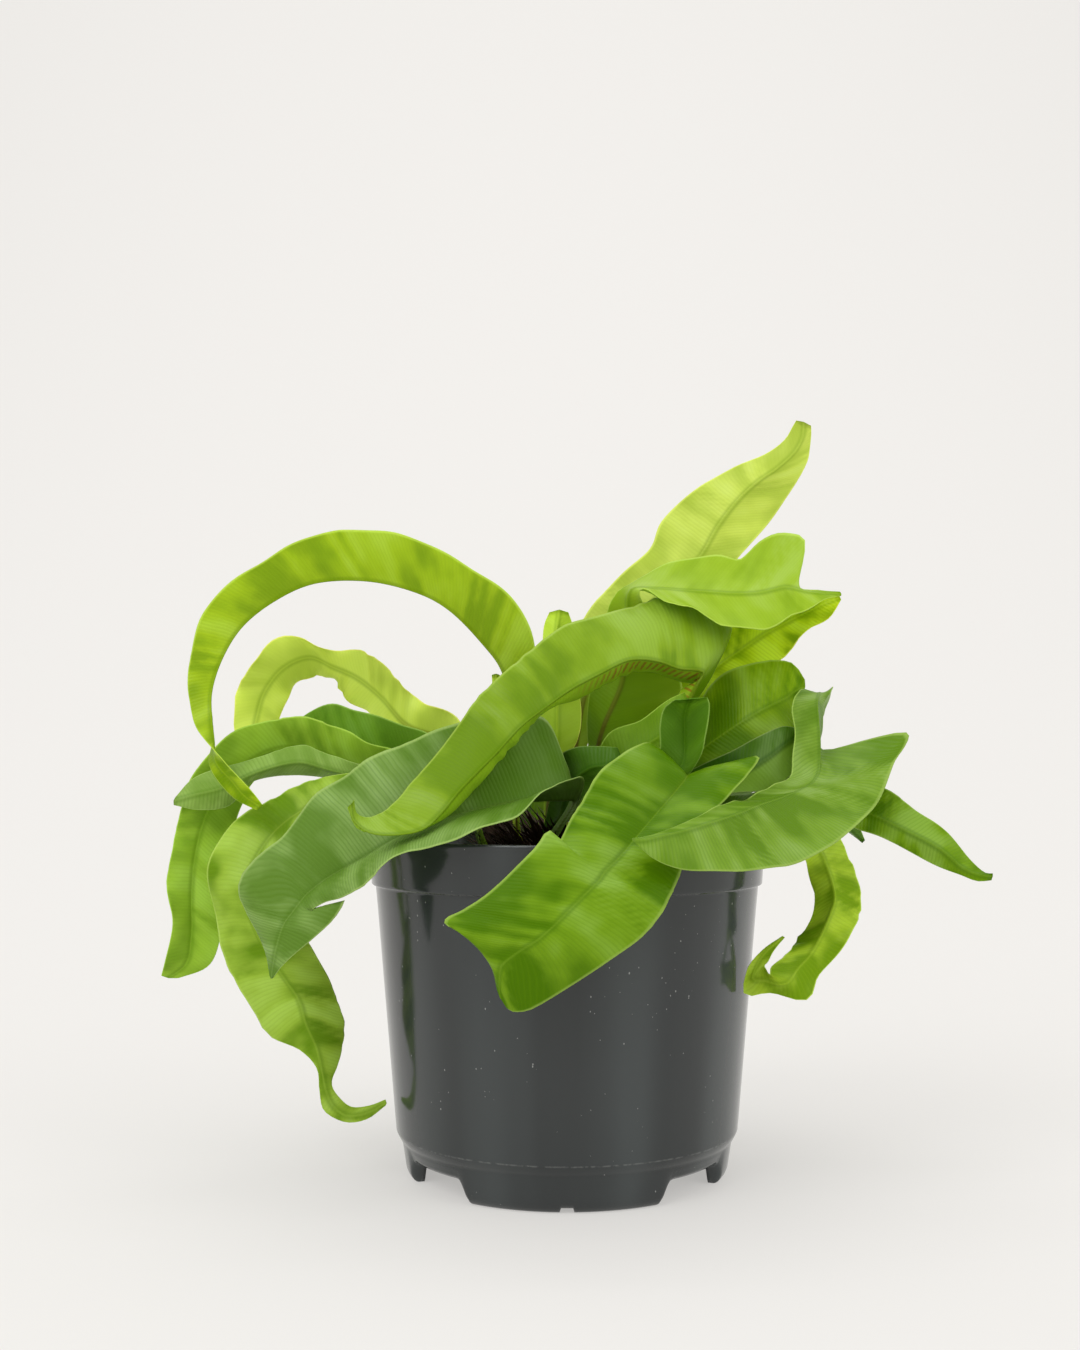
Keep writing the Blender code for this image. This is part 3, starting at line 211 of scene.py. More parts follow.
        0.5, 17, 16.5, 71.5, 229.5, -9.5, 2.5, -14.2, -11.5,  1, 21.2, 18, 76.5, 229.8, -10, 2.5, -14, -11,
        4.5, 22.2, 15, 82.5, 231, -11, 2.5, -13.2, -10,  8, 18.8, 10.5, 87, 232, -12.5, 3, -11.2, -8.5,
        4, 9.4, 7, 90, 231.6, -14, 4, -9.6, -7,  -2, 2, 3, 94, 230.5, -15, 4, -6.5, -5,
        0, 1.3, 2, 101, 229.5, -16, 2, -2.5, -3,  -0.5, 0.8, 0.5, 109.5, 229.4, -17, 0, -0.8, -0.5,
    )),
    "frond_upper_right_low": ("middle", 50, (0.6, 3, 0), 0.6, 0.16, "yellow_green", (2.22, 1.92, 3), (
        -2, 2, 3, 25, 158, 11, 2, -1, -3,  -3, 4, 5, 43, 182, 11, 4, -3, -5,  -5, 7, 7, 59, 199, 9, 5, -5, -6,
        -4, 11, 6, 70, 207, 8, 5, -8, -6,  -3, 10.5, 5, 81, 214.5, 5, 5, -10.5, -5,  -2, 9, 4, 92, 220, 0, 4, -5.5, -4,
        -1, 5, 2, 102, 225, -5, 3, -5, -3,  -0.5, 0.8, 0, 109, 228, -9, 0.5, -1, 0,
    )),
    "frond_right_centre": ("middle", 22, (0.8, 3, 0), 0.6, 0.16, "deep_green", (2.21, 1.34, 0.11), (
        -1, 3, 4, 32, 149, 1, 2, -2, -4,  -2, 8, 6, 50, 164, -3, 4, -7, -6,  -9, 17, 7, 65, 175, -6, 6, -14, -8,
        -9, 17, 8, 78, 183, -8, 8, -17, -8,  -5, 15, 7, 88, 188, -8, 3.5, -15, -6,  -1, 10, 5, 92, 191, -7, 1, -10, -4,
        0, 3, 1, 95, 192, -5, -1.5, -4, -2,
    )),
    "frond_tall": ("inner", 100, (0.8, 4, 0), 0.6, 0.15, "pale_green", (1.66, 1.39, 2.66), (
        -3, 0, 1, 3, 165, 12, 4, 0, -1,  -9, 2, 3, 9, 194, 15, 8, -2, -3,  -17, 3, 5, 22, 214, 17, 12, -4, -3,
        -20, 3.5, 6, 36, 228, 18, 16, -4, -4,  -19, 4, 7, 48, 239, 19, 14, -5, -5,
        -20, 3.5, 8, 54, 245.5, 19, 13, -3.5, -4,  -22, 3, 9, 60, 256, 18, 16, -4, -1,
        -18, 3.5, 9, 68, 266.5, 16, 16, -4, 2,  -10, 5.5, 7, 76, 274, 15, 15, -1, 2,
        -5, 5.5, 5, 84, 279.5, 14, 12, 2.5, 2,  -4, 5, 2, 91, 286, 14, 6, 2, 2,  -4, 4, 1, 94, 292, 14, 3.5, 1, 1,
        -3, 0.6, 0, 94.5, 298, 14, 3, -1.5, 0,
    )),
    "frond_young_curl": ("inner", 215, (0.3, 3, 0), 0.6, 0.16, "pale_green", (1.75, 1.62, 1.35), (
        -3, 0, 2, -6, 158, -6, 3, 0, -2,  -8, 1, 5, -4, 173, -9, 9, 0, 1,  -8, 1, 5, -4, 189, -9, 9, 0, 2,
        -5, 1, 5, -5, 204, -10, 6, 1, 3,  -5, 1, 6, -4, 216, -12, 6, 1, 6,  -4, -1, 2, -3, 223, -11, 3.5, -1, 2,
    )),
    "frond_young_tip": ("middle", 205, (0.2, 2, 0), 0.6, 0.16, "pale_green", (1.9, 1.7, 1.8), (
        -1, 0, 2, -20, 165, -15, 1, 0, -2,  -3, 0, 3, -26, 185, -18, 3, 0, -1,
        -1.5, -0.5, 1, -28.5, 197.5, -20, 1.5, -0.5, 1,
    )),
    "frond_inner_right": ("middle", 331, (0.5, 3, 0), 0.6, 0.16, "bright_green", (0.31, 0.43, 0.1), (
        -2, 3, 2, 28, 147, -19, 2, -2, -3,  -3, 5, 3, 47, 152, -23, 3, -3, -4,  -4, 9, 5, 66, 156, -26, 4, -6, -4,
        -3, 9, 3, 79, 163, -24, 3, -11, -3,  -1, 7.5, 2, 87, 169, -21, 3, -11, -1,
        -0.5, 4, 0, 91.5, 172, -18, 1, -5, 0,
    )),
    "frond_far_right": ("outer", 345, (0.7, 5, 0), 0.6, 0.16, "mid_green", (1.43, 1.12, 0.1), (
        0, 2, 3, 46, 140, -9, 0, -1, -3,  0, 5, 5, 72, 145, -9, 0, -2, -7,  0, 7, 6, 96, 147, -8, -1, -4, -8,
        2, 9, 6, 112, 145, -8, -2, -6, -7,  5, 10, 6, 122, 141, -11, -4, -6, -3,  4, 8, 6, 137, 134, -15, -4, -5.5, 1,
        3, 6.5, 5, 149, 127.5, -18, -4, -5.5, 2,  3, 3, 3, 158, 120, -19, -2, -2.5, 1,
        2, 1, 2, 165, 117, -20, -1, -2.5, 0,  0, 1.2, 0.5, 170, 116.5, -20.5, -0.5, -1.5, -0.5,
    )),
    "frond_curly_right": ("outer", 328, (0.2, 6, 0), 1.1, 0.5, "mid_green", (3.7, 2.19, 3), (
        0, 2, 3, 44, 138, -19, 0, -2, -3,  0, 3, 5, 68, 139, -24, 0, -3, -5,  2, 5, 6, 88, 137, -25, -2, -4, -6,
        6, 6, 8, 99, 130, -26, -6, -4, -6,  9, 4, 8, 104, 120, -28, -8, -1, 4,  10, 2, 9, 107, 108, -31, -8, 0, 9,
        12, 0, 9, 105, 101, -31, -8, -2, 9,  12, 1, 6, 101, 92, -30, -9, -1, 6,  10, -1, 4, 97, 85, -31, -9, 1, -2,
        8, -3.5, 5, 92, 79.5, -35, -9.5, 1.5, -3,  7.5, -6.5, 5, 88, 74, -38, -7, 4.5, -2,
        3.5, -5.1, 3, 83.5, 73.5, -38, -2.7, 4.5, -1,  1, -5, 1, 78.5, 75, -36, 1, 4.5, 0,
        -3, -6.5, 1, 74, 75.5, -34, 4.5, 5.5, 0,  -4.2, -2.5, 0, 76, 81.5, -33, 4.3, 1, 0,
        -2.6, -0.2, 0, 79.6, 86.4, -33, 2.6, 0, 0,  -0.5, 0.3, 0, 86.5, 92.5, -33, 0.5, -0.3, 0,
    )),
    "frond_centre_dark": ("middle", 250, (0.3, 2, 0), 0.6, 0.16, "dark_green", (2.09, 1.73, 0.39), (
        -5, 1, 3, -3, 140, -23, 6, 0, -3,  -5, 4, 4, -1, 148, -25, 7, -1, -3,  -7, 8, 4, 4, 156, -29, 8, -3, -3,
        -7, 8, 5, 10, 160, -35, 7, -6, -3,  -4, 7.6, 5, 16, 161, -39, 5, -6, -3,  -2, 4, 3, 22, 164, -41, 2, -5, -1,
    )),
    "frond_inner_mid": ("middle", 280, (0.3, 2, 0), 0.6, 0.16, "mid_green", (2.12, 1.59, 0.66), (
        -3, 4, 2, 12, 151, -20, 3, -2, -2,  -7, 9, 3, 24, 165, -25, 6, -7, -3,  -5, 8, 3, 35, 171, -27, 5, -8, -3,
        -4, 8, 3, 44, 179, -28, 4, -7, -3,  -2, 4, 2, 49, 186, -28, 2, -5, -1,
    )),
    "frond_inner_tongue": ("middle", 306, (0.3, 2, 0), 0.6, 0.16, "dark_green", (3.05, 2.3, 0.1), (
        -3, 2, 2, 20, 149, -27, 3, -2, -1,  -6, 4, 3, 38, 154, -36, 6, -1, 0,  -9, 5, -2, 46, 161, -37, 7, 3, -5,
        -10, 5, -6, 47, 172, -36, 9, 4, -8,  -8, 3, -5, 47, 181, -38, 10, 4, -7,
        -6, -0.5, -2, 49, 187.5, -43, 7, 0.5, -2,
    )),
    "frond_back_a": ("outer", 120, (1.2, 5, 0), 0.6, 0.16, "mid_green", (1, 1, 1), (
        5, 1, 1, -19, 151, 35, -5, 1, -1,  11, 5, 2, -30, 160, 54, -10, 3, -4,  13, 6, 4, -38, 156, 74, -12, 4, -6,
        14, 5, 6, -43, 143, 89, -13, 4, -7,  13, 3, 6, -46, 123, 97, -12, 4, -7,  10, 1, 4, -48, 102, 97, -9, 4, -5,
        2, 1, 1, -48, 89, 95, -2, 1, -1,
    )),
    "frond_back_b": ("outer", 95, (1.2, 5, 0.4), 0.6, 0.16, "light_green", (1, 1, 1), (
        7, 2, 0, -3, 153, 44, -6, 2, 0,  13, 5, 0, -6, 164, 64, -12, 4, -1,  14, 6, 0, -10, 162, 86, -12, 4, -2,
        13, 5, 1, -13, 147, 99, -12, 3, -2,  12, 2, 2, -15, 130, 102, -11, 2, -2,  7, 2, 2, -16, 110, 98, -6, 2, 0,
        2, 1, 0, -17, 97, 94, -2, 1, 0,
    )),
    "frond_back_c": ("outer", 70, (1.2, 5, 0.7), 0.6, 0.16, "mid_green", (1, 1, 1), (
        5, 2, -1, 12, 154, 44, -5, 2, 1,  10, 5, -2, 19, 168, 63, -9, 4, 2,  12, 6, -3, 27, 166, 83, -12, 5, 3,
        12, 5, -4, 33, 150, 97, -13, 4, 4,  11, 3, -4, 37, 130, 101, -12, 3, 3,  8, 2, -4, 39, 110, 96, -8, 3, 2,
        2, 1, 0, 40, 95, 90, -2, 1, 1,
    )),
    "frond_back_d": ("outer", 46, (1, 4, 0.1), 0.6, 0.16, "deep_green", (1, 1, 1), (
        3, 2, -4, 30, 150, 34, -3, 2, 3,  6, 5, -7, 46, 160, 49, -8, 4, 7,  9, 5, -8, 57, 155, 64, -10, 4, 9,
        10, 4, -10, 62, 138, 78, -10, 4, 8,  9, 3, -10, 64, 118, 84, -10, 3, 6,  4, 1, -4, 62, 101, 82, -4, 1, 3,
    )),
    "frond_back_right": ("outer", 29, (1, 4, 0.5), 0.6, 0.16, "mid_green", (1, 1, 1), (
        1, 1, -3, 41, 146, 23, -1, 1, 3,  3, 3, -5, 61, 155, 35, -4, 3, 7,  4, 6, -8, 84, 154, 44, -5, 3, 9,
        5, 5, -10, 102, 145, 48, -6, 3, 10,  4, 2, -5, 112, 136, 49, -5, 2, 6,  1, 1, -1, 118, 130, 50, -1, 1, 1,
    )),
}

# What the looks add to the solids, in millimetres unless a name says otherwise
FOOT_GAP_PLACES = (0.0, 13.2, 15.4, 16.8, 18.4, 19.6)
FOOT_GAP_HEIGHTS = (8.6, 8.6, 7.9, 5.6, 1.6, 0.0)
FOOT_SLOT_BEARINGS = (270.0, 25.25, 153.75)
SLOT_HALF = 2.3
SLOT_BEVEL = 0.5
SLOT_HEIGHT = 1.5
DRAIN_CUT = 8.0

# Potting mix: its rings of points, which slope down past a radius towards the pot, and the crumbs on it, from a
# share of the disc that the crown keeps free out to a radius
MIX_TURNS = 96
MIX_RINGS = 22
MIX_LEVEL = 62.0
MIX_SLOPE = 0.7 / 6
MIX_LUMP = 0.35
MIX_BOTTOM = (61.0, 11.2)
CRUMBS = 2600
CRUMB_FREE = 0.17
CRUMB_REACH = 71.5
CRUMB_FACES = ((0, 1, 3, 2), (4, 6, 7, 5), (0, 4, 5, 1), (2, 3, 7, 6), (0, 2, 6, 4), (1, 5, 7, 3))

# Crown: its scales, every third of them a longer tuft, and three dead stalk bases as x, y, length and width
CROWN_TURNS = 72
CROWN_SCALES = 1100
TUFT_EVERY = 3
SCALE_REACH = 32.0
SCALE_ROOT = 0.6
SCALE_LENGTHS = (4.0, 9.0)
SCALE_WIDTHS = (0.7, 1.5)
SCALE_LEANS = (0.2, 1.1)
SCALE_THICKNESS = 0.12
SCALE_CURL = 0.35
SCALE_OUTLINE = ((0.0, 0.8), (0.35, 1.0), (0.7, 0.6), (1.0, 0.06))
CROWN_STUBS = ((-32.0, 5.0, 29.0, 6.4), (-28.5, 9.0, 31.0, 6.8), (-24.5, 14.0, 28.0, 6.2))
STUB_THICKNESS = 0.9

# Blades: the grid's step and columns, the midrib, the ruffled margin and the folds along the side veins, which
# start at a distance from the midrib, grow over the first fifth of the blade and fade over its last sixth.
BLADE_STEP = 2.0
BLADE_COLUMNS = 9
MARGIN_START = 0.955
RIB_HALF_WIDTH = 0.9
RIB_HEIGHT = 0.35
RUFFLE_LENGTH = 21.0
ARCH = 0.05
FOLD_SPACING = 8.5
FOLD_START = 7.0
FOLD_GROW = 5.0
FOLD_FADE = 6.0
VEIN_SLOPE = 0.45

# The textures' places on a blade hold millimetres over UV_SCALE, and the offset tells the upper side, above
# zero, from the underside.
UV_SCALE = 100.0
SIDE_OFFSET = 5.0

# Each leaf colour: its slot, wax, painted shade of its fold valleys and its veins, brown of its midrib, spore lines
LEAVES = {
    "yellow_green": ("leaf_yellow_green", 0.3, 0.9, 0.24, 0.15, 0.0),
    "pale_green": ("leaf_light_green", 0.3, 0.35, 0.12, 0.8, 0.0),
    "light_green": ("leaf_light_green", 0.3, 0.9, 0.18, 0.15, 0.0),
    "bright_green": ("leaf_mid_green", 0.3, 0.9, 0.24, 0.15, 0.75),
    "deep_green": ("leaf_mid_green", 0.3, 0.9, 0.24, 0.15, 0.0),
    "mid_green": ("leaf_mid_green", 0.3, 0.9, 0.24, 0.15, 0.0),
    "mid_blue_green": ("leaf_mid_green", 0.4, 0.6, 0.4, 0.15, 0.0),
    "blue_green": ("leaf_dark_green", 0.32, 0.7, 0.55, 0.15, 0.0),
    "dark_green": ("leaf_dark_green", 0.3, 0.9, 0.24, 0.15, 0.0),
}
LEAF_TRANSLUCENCY = 0.3
# Painted shade: how much of its red, green and blue a leaf's colour loses where shade is painted
PAINTED_SHADE_LOSS = (0.62, 0.48, 0.9)
# Painted sheen: the share by which a waxy leaf's colour moves towards a paler tone
PAINTED_SHEEN_SHARE = 0.3

# What a leaf's colour moves towards: painted sheen where its wax is thick, near the stalk, on the underside, painted
# light where the ribbon is folded under, and painted highlights on the midrib and along the margin
PAINTED_SHEEN_TONE = (0.62, 0.72, 0.42)
STALK_TONE = (0.72, 0.78, 0.2)
UNDERSIDE_TONE = (0.55, 0.68, 0.25)
FOLDED_PAINTED_LIGHT_TONE = (0.8, 0.85, 0.2)
RIB_PAINTED_HIGHLIGHT_TONE = (0.7, 0.76, 0.25)
MARGIN_PAINTED_HIGHLIGHT_TONE = (0.85, 0.9, 0.4)
SPORE_BROWN = "b5772a"

# In metres: the place at the crown near which shade is painted on the leaves, and where the pot's painted sheen
# bands are taken from
CROWN_PLACE = (0.0, 0.0, 0.125)
CROWN_SHADE = 0.75
SHEEN_BAND_PLACE = (-0.016, 0.0, 0.0)
# The pot's scuffed edges: the height of each, and how far its scuffs reach up and down, in millimetres
EDGE_SCUFFS = ((BODY_BOTTOM[1], 0.45), (BAND_BOTTOM[1], 0.35), (RIM_TOP[1], 0.5))

# Studio: the camera and the backdrop in millimetres, shifts as shares of the frame, lamps in metres and watts
CAMERA_DISTANCE = 599.0
CAMERA_SHIFT = (-0.02, 0.0741)
LENS = 40.0
SENSOR_WIDTH = 36.0
WORLD_COLOUR = (1.0, 0.995, 0.985, 1.0)
WORLD_STRENGTH = 0.9
CAMERA_SIDE = 0.85
PAPER_GLOW = 0.5
PAPER_LIGHT = 1.2
BACKDROP_FRONT = -3000.0
BACKDROP_REACH = 3600.0
SWEEP_START = 250.0
SWEEP_RADIUS = 1800.0
SWEEP_STEPS = 32
LAMPS = (
    ("key_left", (-1.1, -1.3, 1.5), (0.0, 0.0, 0.15), (1.2, 1.2), 16.0),
    ("fill_right", (1.4, -1.0, 0.9), (0.0, 0.0, 0.15), (0.9, 1.4), 8.0),
    ("top", (0.0, 0.3, 1.9), (0.0, 0.0, 0.15), (1.6, 1.6), 5.0),
    ("wash", (0.0, 0.7, 2.4), (0.0, 2.05, 1.2), (2.4, 0.6), 11.0),
)


# Sizes and colours that a user would change


def srgb(text):
    """A six-figure sRGB hex colour as linear red, green, blue and an alpha of 1."""
    values = [int(text[place:place + 2], 16) / 255.0 for place in (0, 2, 4)]
    return (*(v / 12.92 if v <= 0.04045 else ((v + 0.055) / 1.055) ** 2.4 for v in values), 1.0)


def colour_of(name, description, hex_colour):
    return bpy.props.FloatVectorProperty(
        name=name, description=description, subtype="COLOR", size=4, min=0.0, max=1.0, default=srgb(hex_colour)
    )


def length_of(name, description, millimetres):
    return bpy.props.FloatProperty(
        name=name, description=description, subtype="DISTANCE", unit="LENGTH", min=0.0, default=millimetres * MM
    )


class PotLooks(bpy.types.PropertyGroup):
    plastic: colour_of("Plastic", "Dark grey polypropylene of the pot", "2e3232")
    dust: colour_of("Dust", "Pale specks of lime and dust on the pot", "b9bab6")
    speck: length_of("Speck spacing", "Mean distance between dust specks", 1.7)


class MixLooks(bpy.types.PropertyGroup):
    peat: colour_of("Peat", "Moist peat of the potting mix", "2b1f17")
    bark: colour_of("Bark", "Lighter bits of bark in the mix", "5b4330")
    grain: length_of("Crumb", "Size of the largest crumbs of potting mix", 3.4)
    scales: colour_of("Crown scales", "Papery brown scales on the crown", "4a3322")


class FrondLooks(bpy.types.PropertyGroup):
    yellow_green: colour_of("Yellow green", "Sunlit arching frond", "98b412")
    pale_green: colour_of("Pale green", "Young upright fronds", "a9c63c")
    light_green: colour_of("Light green", "Long hanging frond", "93b832")
    bright_green: colour_of("Bright green", "Twisted frond in the middle", "7faa1c")
    deep_green: colour_of("Deep green", "Glossy frond in front", "5f9a0c")
    mid_green: colour_of("Mid green", "Older fronds at the sides", "679a1c")
    mid_blue_green: colour_of("Blue green, lighter", "Large frond at the right", "6b9c33")
    blue_green: colour_of("Blue green, darker", "Broad frond at the front left", "4f8130")
    dark_green: colour_of("Dark green", "Shaded fronds inside", "3c6a1a")
    rib: colour_of("Midrib", "Brown tint of a midrib near its base", "6b4a1e")
    blade: length_of("Blade thickness", "Thickness of a frond's blade", 0.55)
    vein: length_of("Vein spacing", "Distance between the fine side veins", 1.5)


class StageLooks(bpy.types.PropertyGroup):
    floor: colour_of("Floor", "Pale warm floor and backdrop", "dcdad7")


# Materials


def add_node(tree, kind, links=(), **settings):
    """Adds a shader node, with settings by name and (socket, value or output) pairs for its inputs."""
    node = tree.nodes.new("ShaderNode" + kind)
    for key, value in settings.items():
        setattr(node, key, value)
    for socket, value in links:
        if isinstance(value, bpy.types.NodeSocket):
            tree.links.new(value, node.inputs[socket])
        else:
            node.inputs[socket].default_value = value
    return node


def new_material(name):
    """A material with an empty node tree, its tree, and the place on the object that its textures use."""
    material = bpy.data.materials.new(name)
    material.use_nodes = True
    tree = material.node_tree
    tree.nodes.clear()
    return material, tree, add_node(tree, "TexCoord").outputs["Object"]


def principled(tree, *links):
    return add_node(tree, "BsdfPrincipled", links).outputs[0]


def finished(material, surface):
    add_node(material.node_tree, "OutputMaterial", [(0, surface)])
    return material


def maths(tree, operation, *values):
    return add_node(tree, "Math", enumerate(values), operation=operation).outputs[0]


def times(tree, *values):
    return maths(tree, "MULTIPLY", *values)


def blend(tree, share, first, second, kind="MIX"):
    """One colour over another by a share."""
    sockets = [(0, share), (6, first), (7, second)]
    return add_node(tree, "Mix", sockets, data_type="RGBA", blend_type=kind).outputs[2]


def span(tree, value, low, high, to_low=0.0, to_high=1.0, kind="LINEAR"):
    """A value's part between low and high, turned into another range and held within it."""
    sockets = enumerate((value, low, high, to_low, to_high))
    return add_node(tree, "MapRange", sockets, interpolation_type=kind).outputs[0]


def ease(tree, *values):
    """A span that starts and ends gently."""
    return span(tree, *values, kind="SMOOTHSTEP")


def noise(tree, place, scale, detail, roughness=0.5):
    sockets = [("Vector", place), ("Scale", scale), ("Detail", detail), ("Roughness", roughness)]
    return add_node(tree, "TexNoise", sockets).outputs[0]


def stretched(tree, place, upright, shift=(0.0, 0.0, 0.0)):
    """A texture's place with its upright part scaled, so that the texture draws out along it."""
    return add_node(tree, "Mapping", [(0, place), (1, shift), (3, (1.0, 1.0, upright))]).outputs[0]


def bump(tree, strength, distance, height):
    return add_node(tree, "Bump", [("Strength", strength), ("Distance", distance), ("Height", height)]).outputs[0]


def tinted(colour, factor, towards=(1.0, 1.0, 1.0), share=0.0):
    """A colour made brighter or darker and moved part of the way towards another."""
    return (*(min(1.0, c * factor * (1 - share) + t * share) for c, t in zip(colour[:3], towards)), 1.0)


def shaded(colour, strength):
    """A leaf's colour under painted shade, as in the valleys of its folds: darker, greener and more saturated."""
    return (*(c * (1.0 - strength * loss) for c, loss in zip(colour[:3], PAINTED_SHADE_LOSS)), 1.0)


def living_leaf(name, colour, rib, spacing, wax, contrast, vein_shade, browning, sori):
    """Living fern leaf with a waxy cuticle: saturated green that glows where light comes through, with painted shade
    in the valleys of its folds, along its fine side veins and beside its midrib, painted sheen where the wax is thick,
    and painted highlights on the midrib and along the margin."""
    material, tree, place = new_material(name)
    across, along, vein_place, sided, fold, _ = (
        output for map_name in ("blade", "veins", "folds") for output in add_node(
            tree, "SeparateXYZ", [(0, add_node(tree, "UVMap", uv_map=map_name).outputs[0])]
        ).outputs[:2]
    )
    sided = times(tree, sided, UV_SCALE)
    from_rib = maths(tree, "SUBTRACT", maths(tree, "ABSOLUTE", sided), SIDE_OFFSET)
    edge = maths(tree, "ABSOLUTE", maths(tree, "MULTIPLY_ADD", across, 2.0, -1.0))

    bent = maths(tree, "MULTIPLY_ADD", noise(tree, place, 90.0, 2.0), 1.2, times(tree, vein_place, UV_SCALE))
    vein = maths(tree, "SINE", times(tree, bent, 2 * pi / spacing))
    streak_place = add_node(tree, "CombineXYZ", [
        (0, times(tree, bent, 0.1)), (1, times(tree, from_rib, 0.03)), (2, across),
    ]).outputs[0]
    streaks = noise(tree, streak_place, 1.0, 1.5, 0.4)
    patches = noise(tree, place, 26.0, 3.0, 0.55)
    cloudy = maths(tree, "MULTIPLY_ADD", streaks, 0.4, times(tree, patches, 0.6))
    cloudy = maths(tree, "MULTIPLY_ADD", fold, 0.1, maths(tree, "SUBTRACT", cloudy, 0.05))
    from_crown = add_node(tree, "VectorMath", [(0, place), (1, CROWN_PLACE)], operation="DISTANCE").outputs["Value"]

    layers = [
        # Flat parts in their own colour over the painted shade of the fold valleys
        (ease(tree, cloudy, 0.4, 0.53), colour),
        # Painted sheen where the wax is thick
        (ease(tree, cloudy, 0.5, 0.62), tinted(colour, 1.0 + 0.2 * contrast, PAINTED_SHEEN_TONE, PAINTED_SHEEN_SHARE * wax)),
        # Painted shade near the crown
        (ease(tree, from_crown, 0.05, 0.1, CROWN_SHADE, 0.0), shaded(colour, 1.0)),
        # Painted shade along the fine vein grooves
        (times(tree, span(tree, vein, 0.1, 1.0), vein_shade), shaded(colour, 0.6)),
        (ease(tree, along, 0.02, 0.26, 0.5, 0.0), tinted(colour, 1.2, STALK_TONE, 0.25)),
        (times(tree, maths(tree, "LESS_THAN", sided, 0.0), 0.3), tinted(colour, 1.1, UNDERSIDE_TONE, 0.15)),
    ]
    if sori:
        stripes = span(tree, maths(tree, "SINE", times(tree, bent, pi / spacing)), 0.25, 0.6)
        for value, *ends in (
            (across, 0.56, 0.6, 0.0, 1.0), (across, 0.84, 0.92, 1.0, 0.0),
            (along, 0.2, 0.26, 0.0, 1.0), (along, 0.5, 0.58, sori, 0.0),
        ):
            stripes = times(tree, stripes, span(tree, value, *ends))
        layers += [
            # Painted shade where the ribbon turns away
            (ease(tree, along, 0.3, 0.37, 0.8, 0.0), shaded(colour, 1.0)),
            # Painted light on the ribbon's folded-under strip, which faces down into shade
            (span(tree, across, 0.5, 0.54, 0.0, 0.7), tinted(colour, 1.9, FOLDED_PAINTED_LIGHT_TONE, 0.15)),
            (stripes, srgb(SPORE_BROWN)),
        ]
    brown_share = ease(tree, from_rib, 0.5, 1.5, browning, 0.0)
    layers += [
        # Painted shade in the groove beside the midrib
        (ease(tree, from_rib, 0.6, 2.2, 0.6, 0.0), shaded(colour, 0.8)),
        # Painted highlight on the raised midrib
        (ease(tree, from_rib, 0.2, 0.6, 0.25, 0.0), tinted(colour, 1.15, RIB_PAINTED_HIGHLIGHT_TONE, 0.1)),
        (times(tree, brown_share, span(tree, along, 0.22, 0.5, 1.0, 0.0)), rib),
        # Painted highlight along the margin
        (span(tree, edge, 0.95, 0.985, 0.0, 0.75), tinted(colour, 1.4, MARGIN_PAINTED_HIGHLIGHT_TONE, 0.25)),
    ]
    # Under all the layers lies the painted shade of the fold valleys
    green = shaded(colour, contrast)
    for share, layer in layers:
        green = blend(tree, share, green, layer)

    height = maths(tree, "MULTIPLY_ADD", vein, -0.8 * vein_shade, times(tree, streaks, 5.0))
    height = maths(tree, "MULTIPLY_ADD", noise(tree, place, 900.0, 2.0), 0.35, height)
    normal = bump(tree, 0.4, 0.0003, height)
    gloss = span(tree, cloudy, 0.4, 0.62, 0.25 * wax, 1.1 * wax)
    roughness = span(tree, patches, 0.3, 0.7, 0.3, 0.42)
    surface = principled(
        tree, ("Base Color", green), ("Roughness", roughness), ("IOR", 1.42), ("Specular IOR Level", gloss),
        ("Normal", normal),
    )
    glow = blend(tree, 1.0, green, (1.0, 1.0, 0.3, 1.0), "MULTIPLY")
    through = add_node(tree, "BsdfTranslucent", [("Color", glow), ("Normal", normal)]).outputs[0]
    both = add_node(tree, "MixShader", [(0, LEAF_TRANSLUCENCY), (1, surface), (2, through)]).outputs[0]
    return finished(material, both)


def moulded_polypropylene(looks):
    """Injection-moulded polypropylene: an even satin gloss over dark grey with painted sheen in soft vertical bands,
    pale dust specks on the wall and scuffs along the edges that stand out."""
    material, tree, place = new_material("moulded_polypropylene")
    sheen_band_noise = noise(tree, stretched(tree, place, 0.04, SHEEN_BAND_PLACE), 30.0, 1.5)
    dirt = noise(tree, stretched(tree, place, 0.3), 75.0, 2.0)
    grit = noise(tree, place, 420.0, 3.0)
    high = add_node(tree, "SeparateXYZ", [(0, place)]).outputs[2]
    cells = add_node(tree, "TexVoronoi", [("Vector", stretched(tree, place, 0.6)), ("Scale", 1.0 / looks.speck)])
    sizes = add_node(tree, "SeparateColor", [(0, cells.outputs["Color"])]).outputs[0]
    dusty = ease(tree, dirt, 0.44, 0.62, 0.0, 0.17)
    speck_size = times(tree, span(tree, sizes, 0.4, 1.0), dusty)
    speck = maths(tree, "LESS_THAN", cells.outputs["Distance"], speck_size)
    # Painted sheen: soft vertical bands round the wall, lighter and darker than the plastic
    streaks = ease(tree, sheen_band_noise, 0.35, 0.65)
    base = blend(tree, streaks, tinted(looks.plastic, 0.8), tinted(looks.plastic, 1.5))
    base = blend(tree, times(tree, speck, 0.5), base, looks.dust)
    for edge_height, reach in EDGE_SCUFFS:
        from_edge = maths(tree, "ABSOLUTE", maths(tree, "SUBTRACT", high, edge_height * MM))
        line = times(tree, span(tree, from_edge, 0.0, reach * MM, 0.15, 0.0), span(tree, grit, 0.42, 0.6))
        base = blend(tree, line, base, looks.dust)
    normal = bump(tree, 0.12, 0.0001, grit)
    plastic = principled(tree, ("Base Color", base), ("Roughness", 0.15), ("IOR", 1.49), ("Normal", normal))
    return finished(material, plastic)


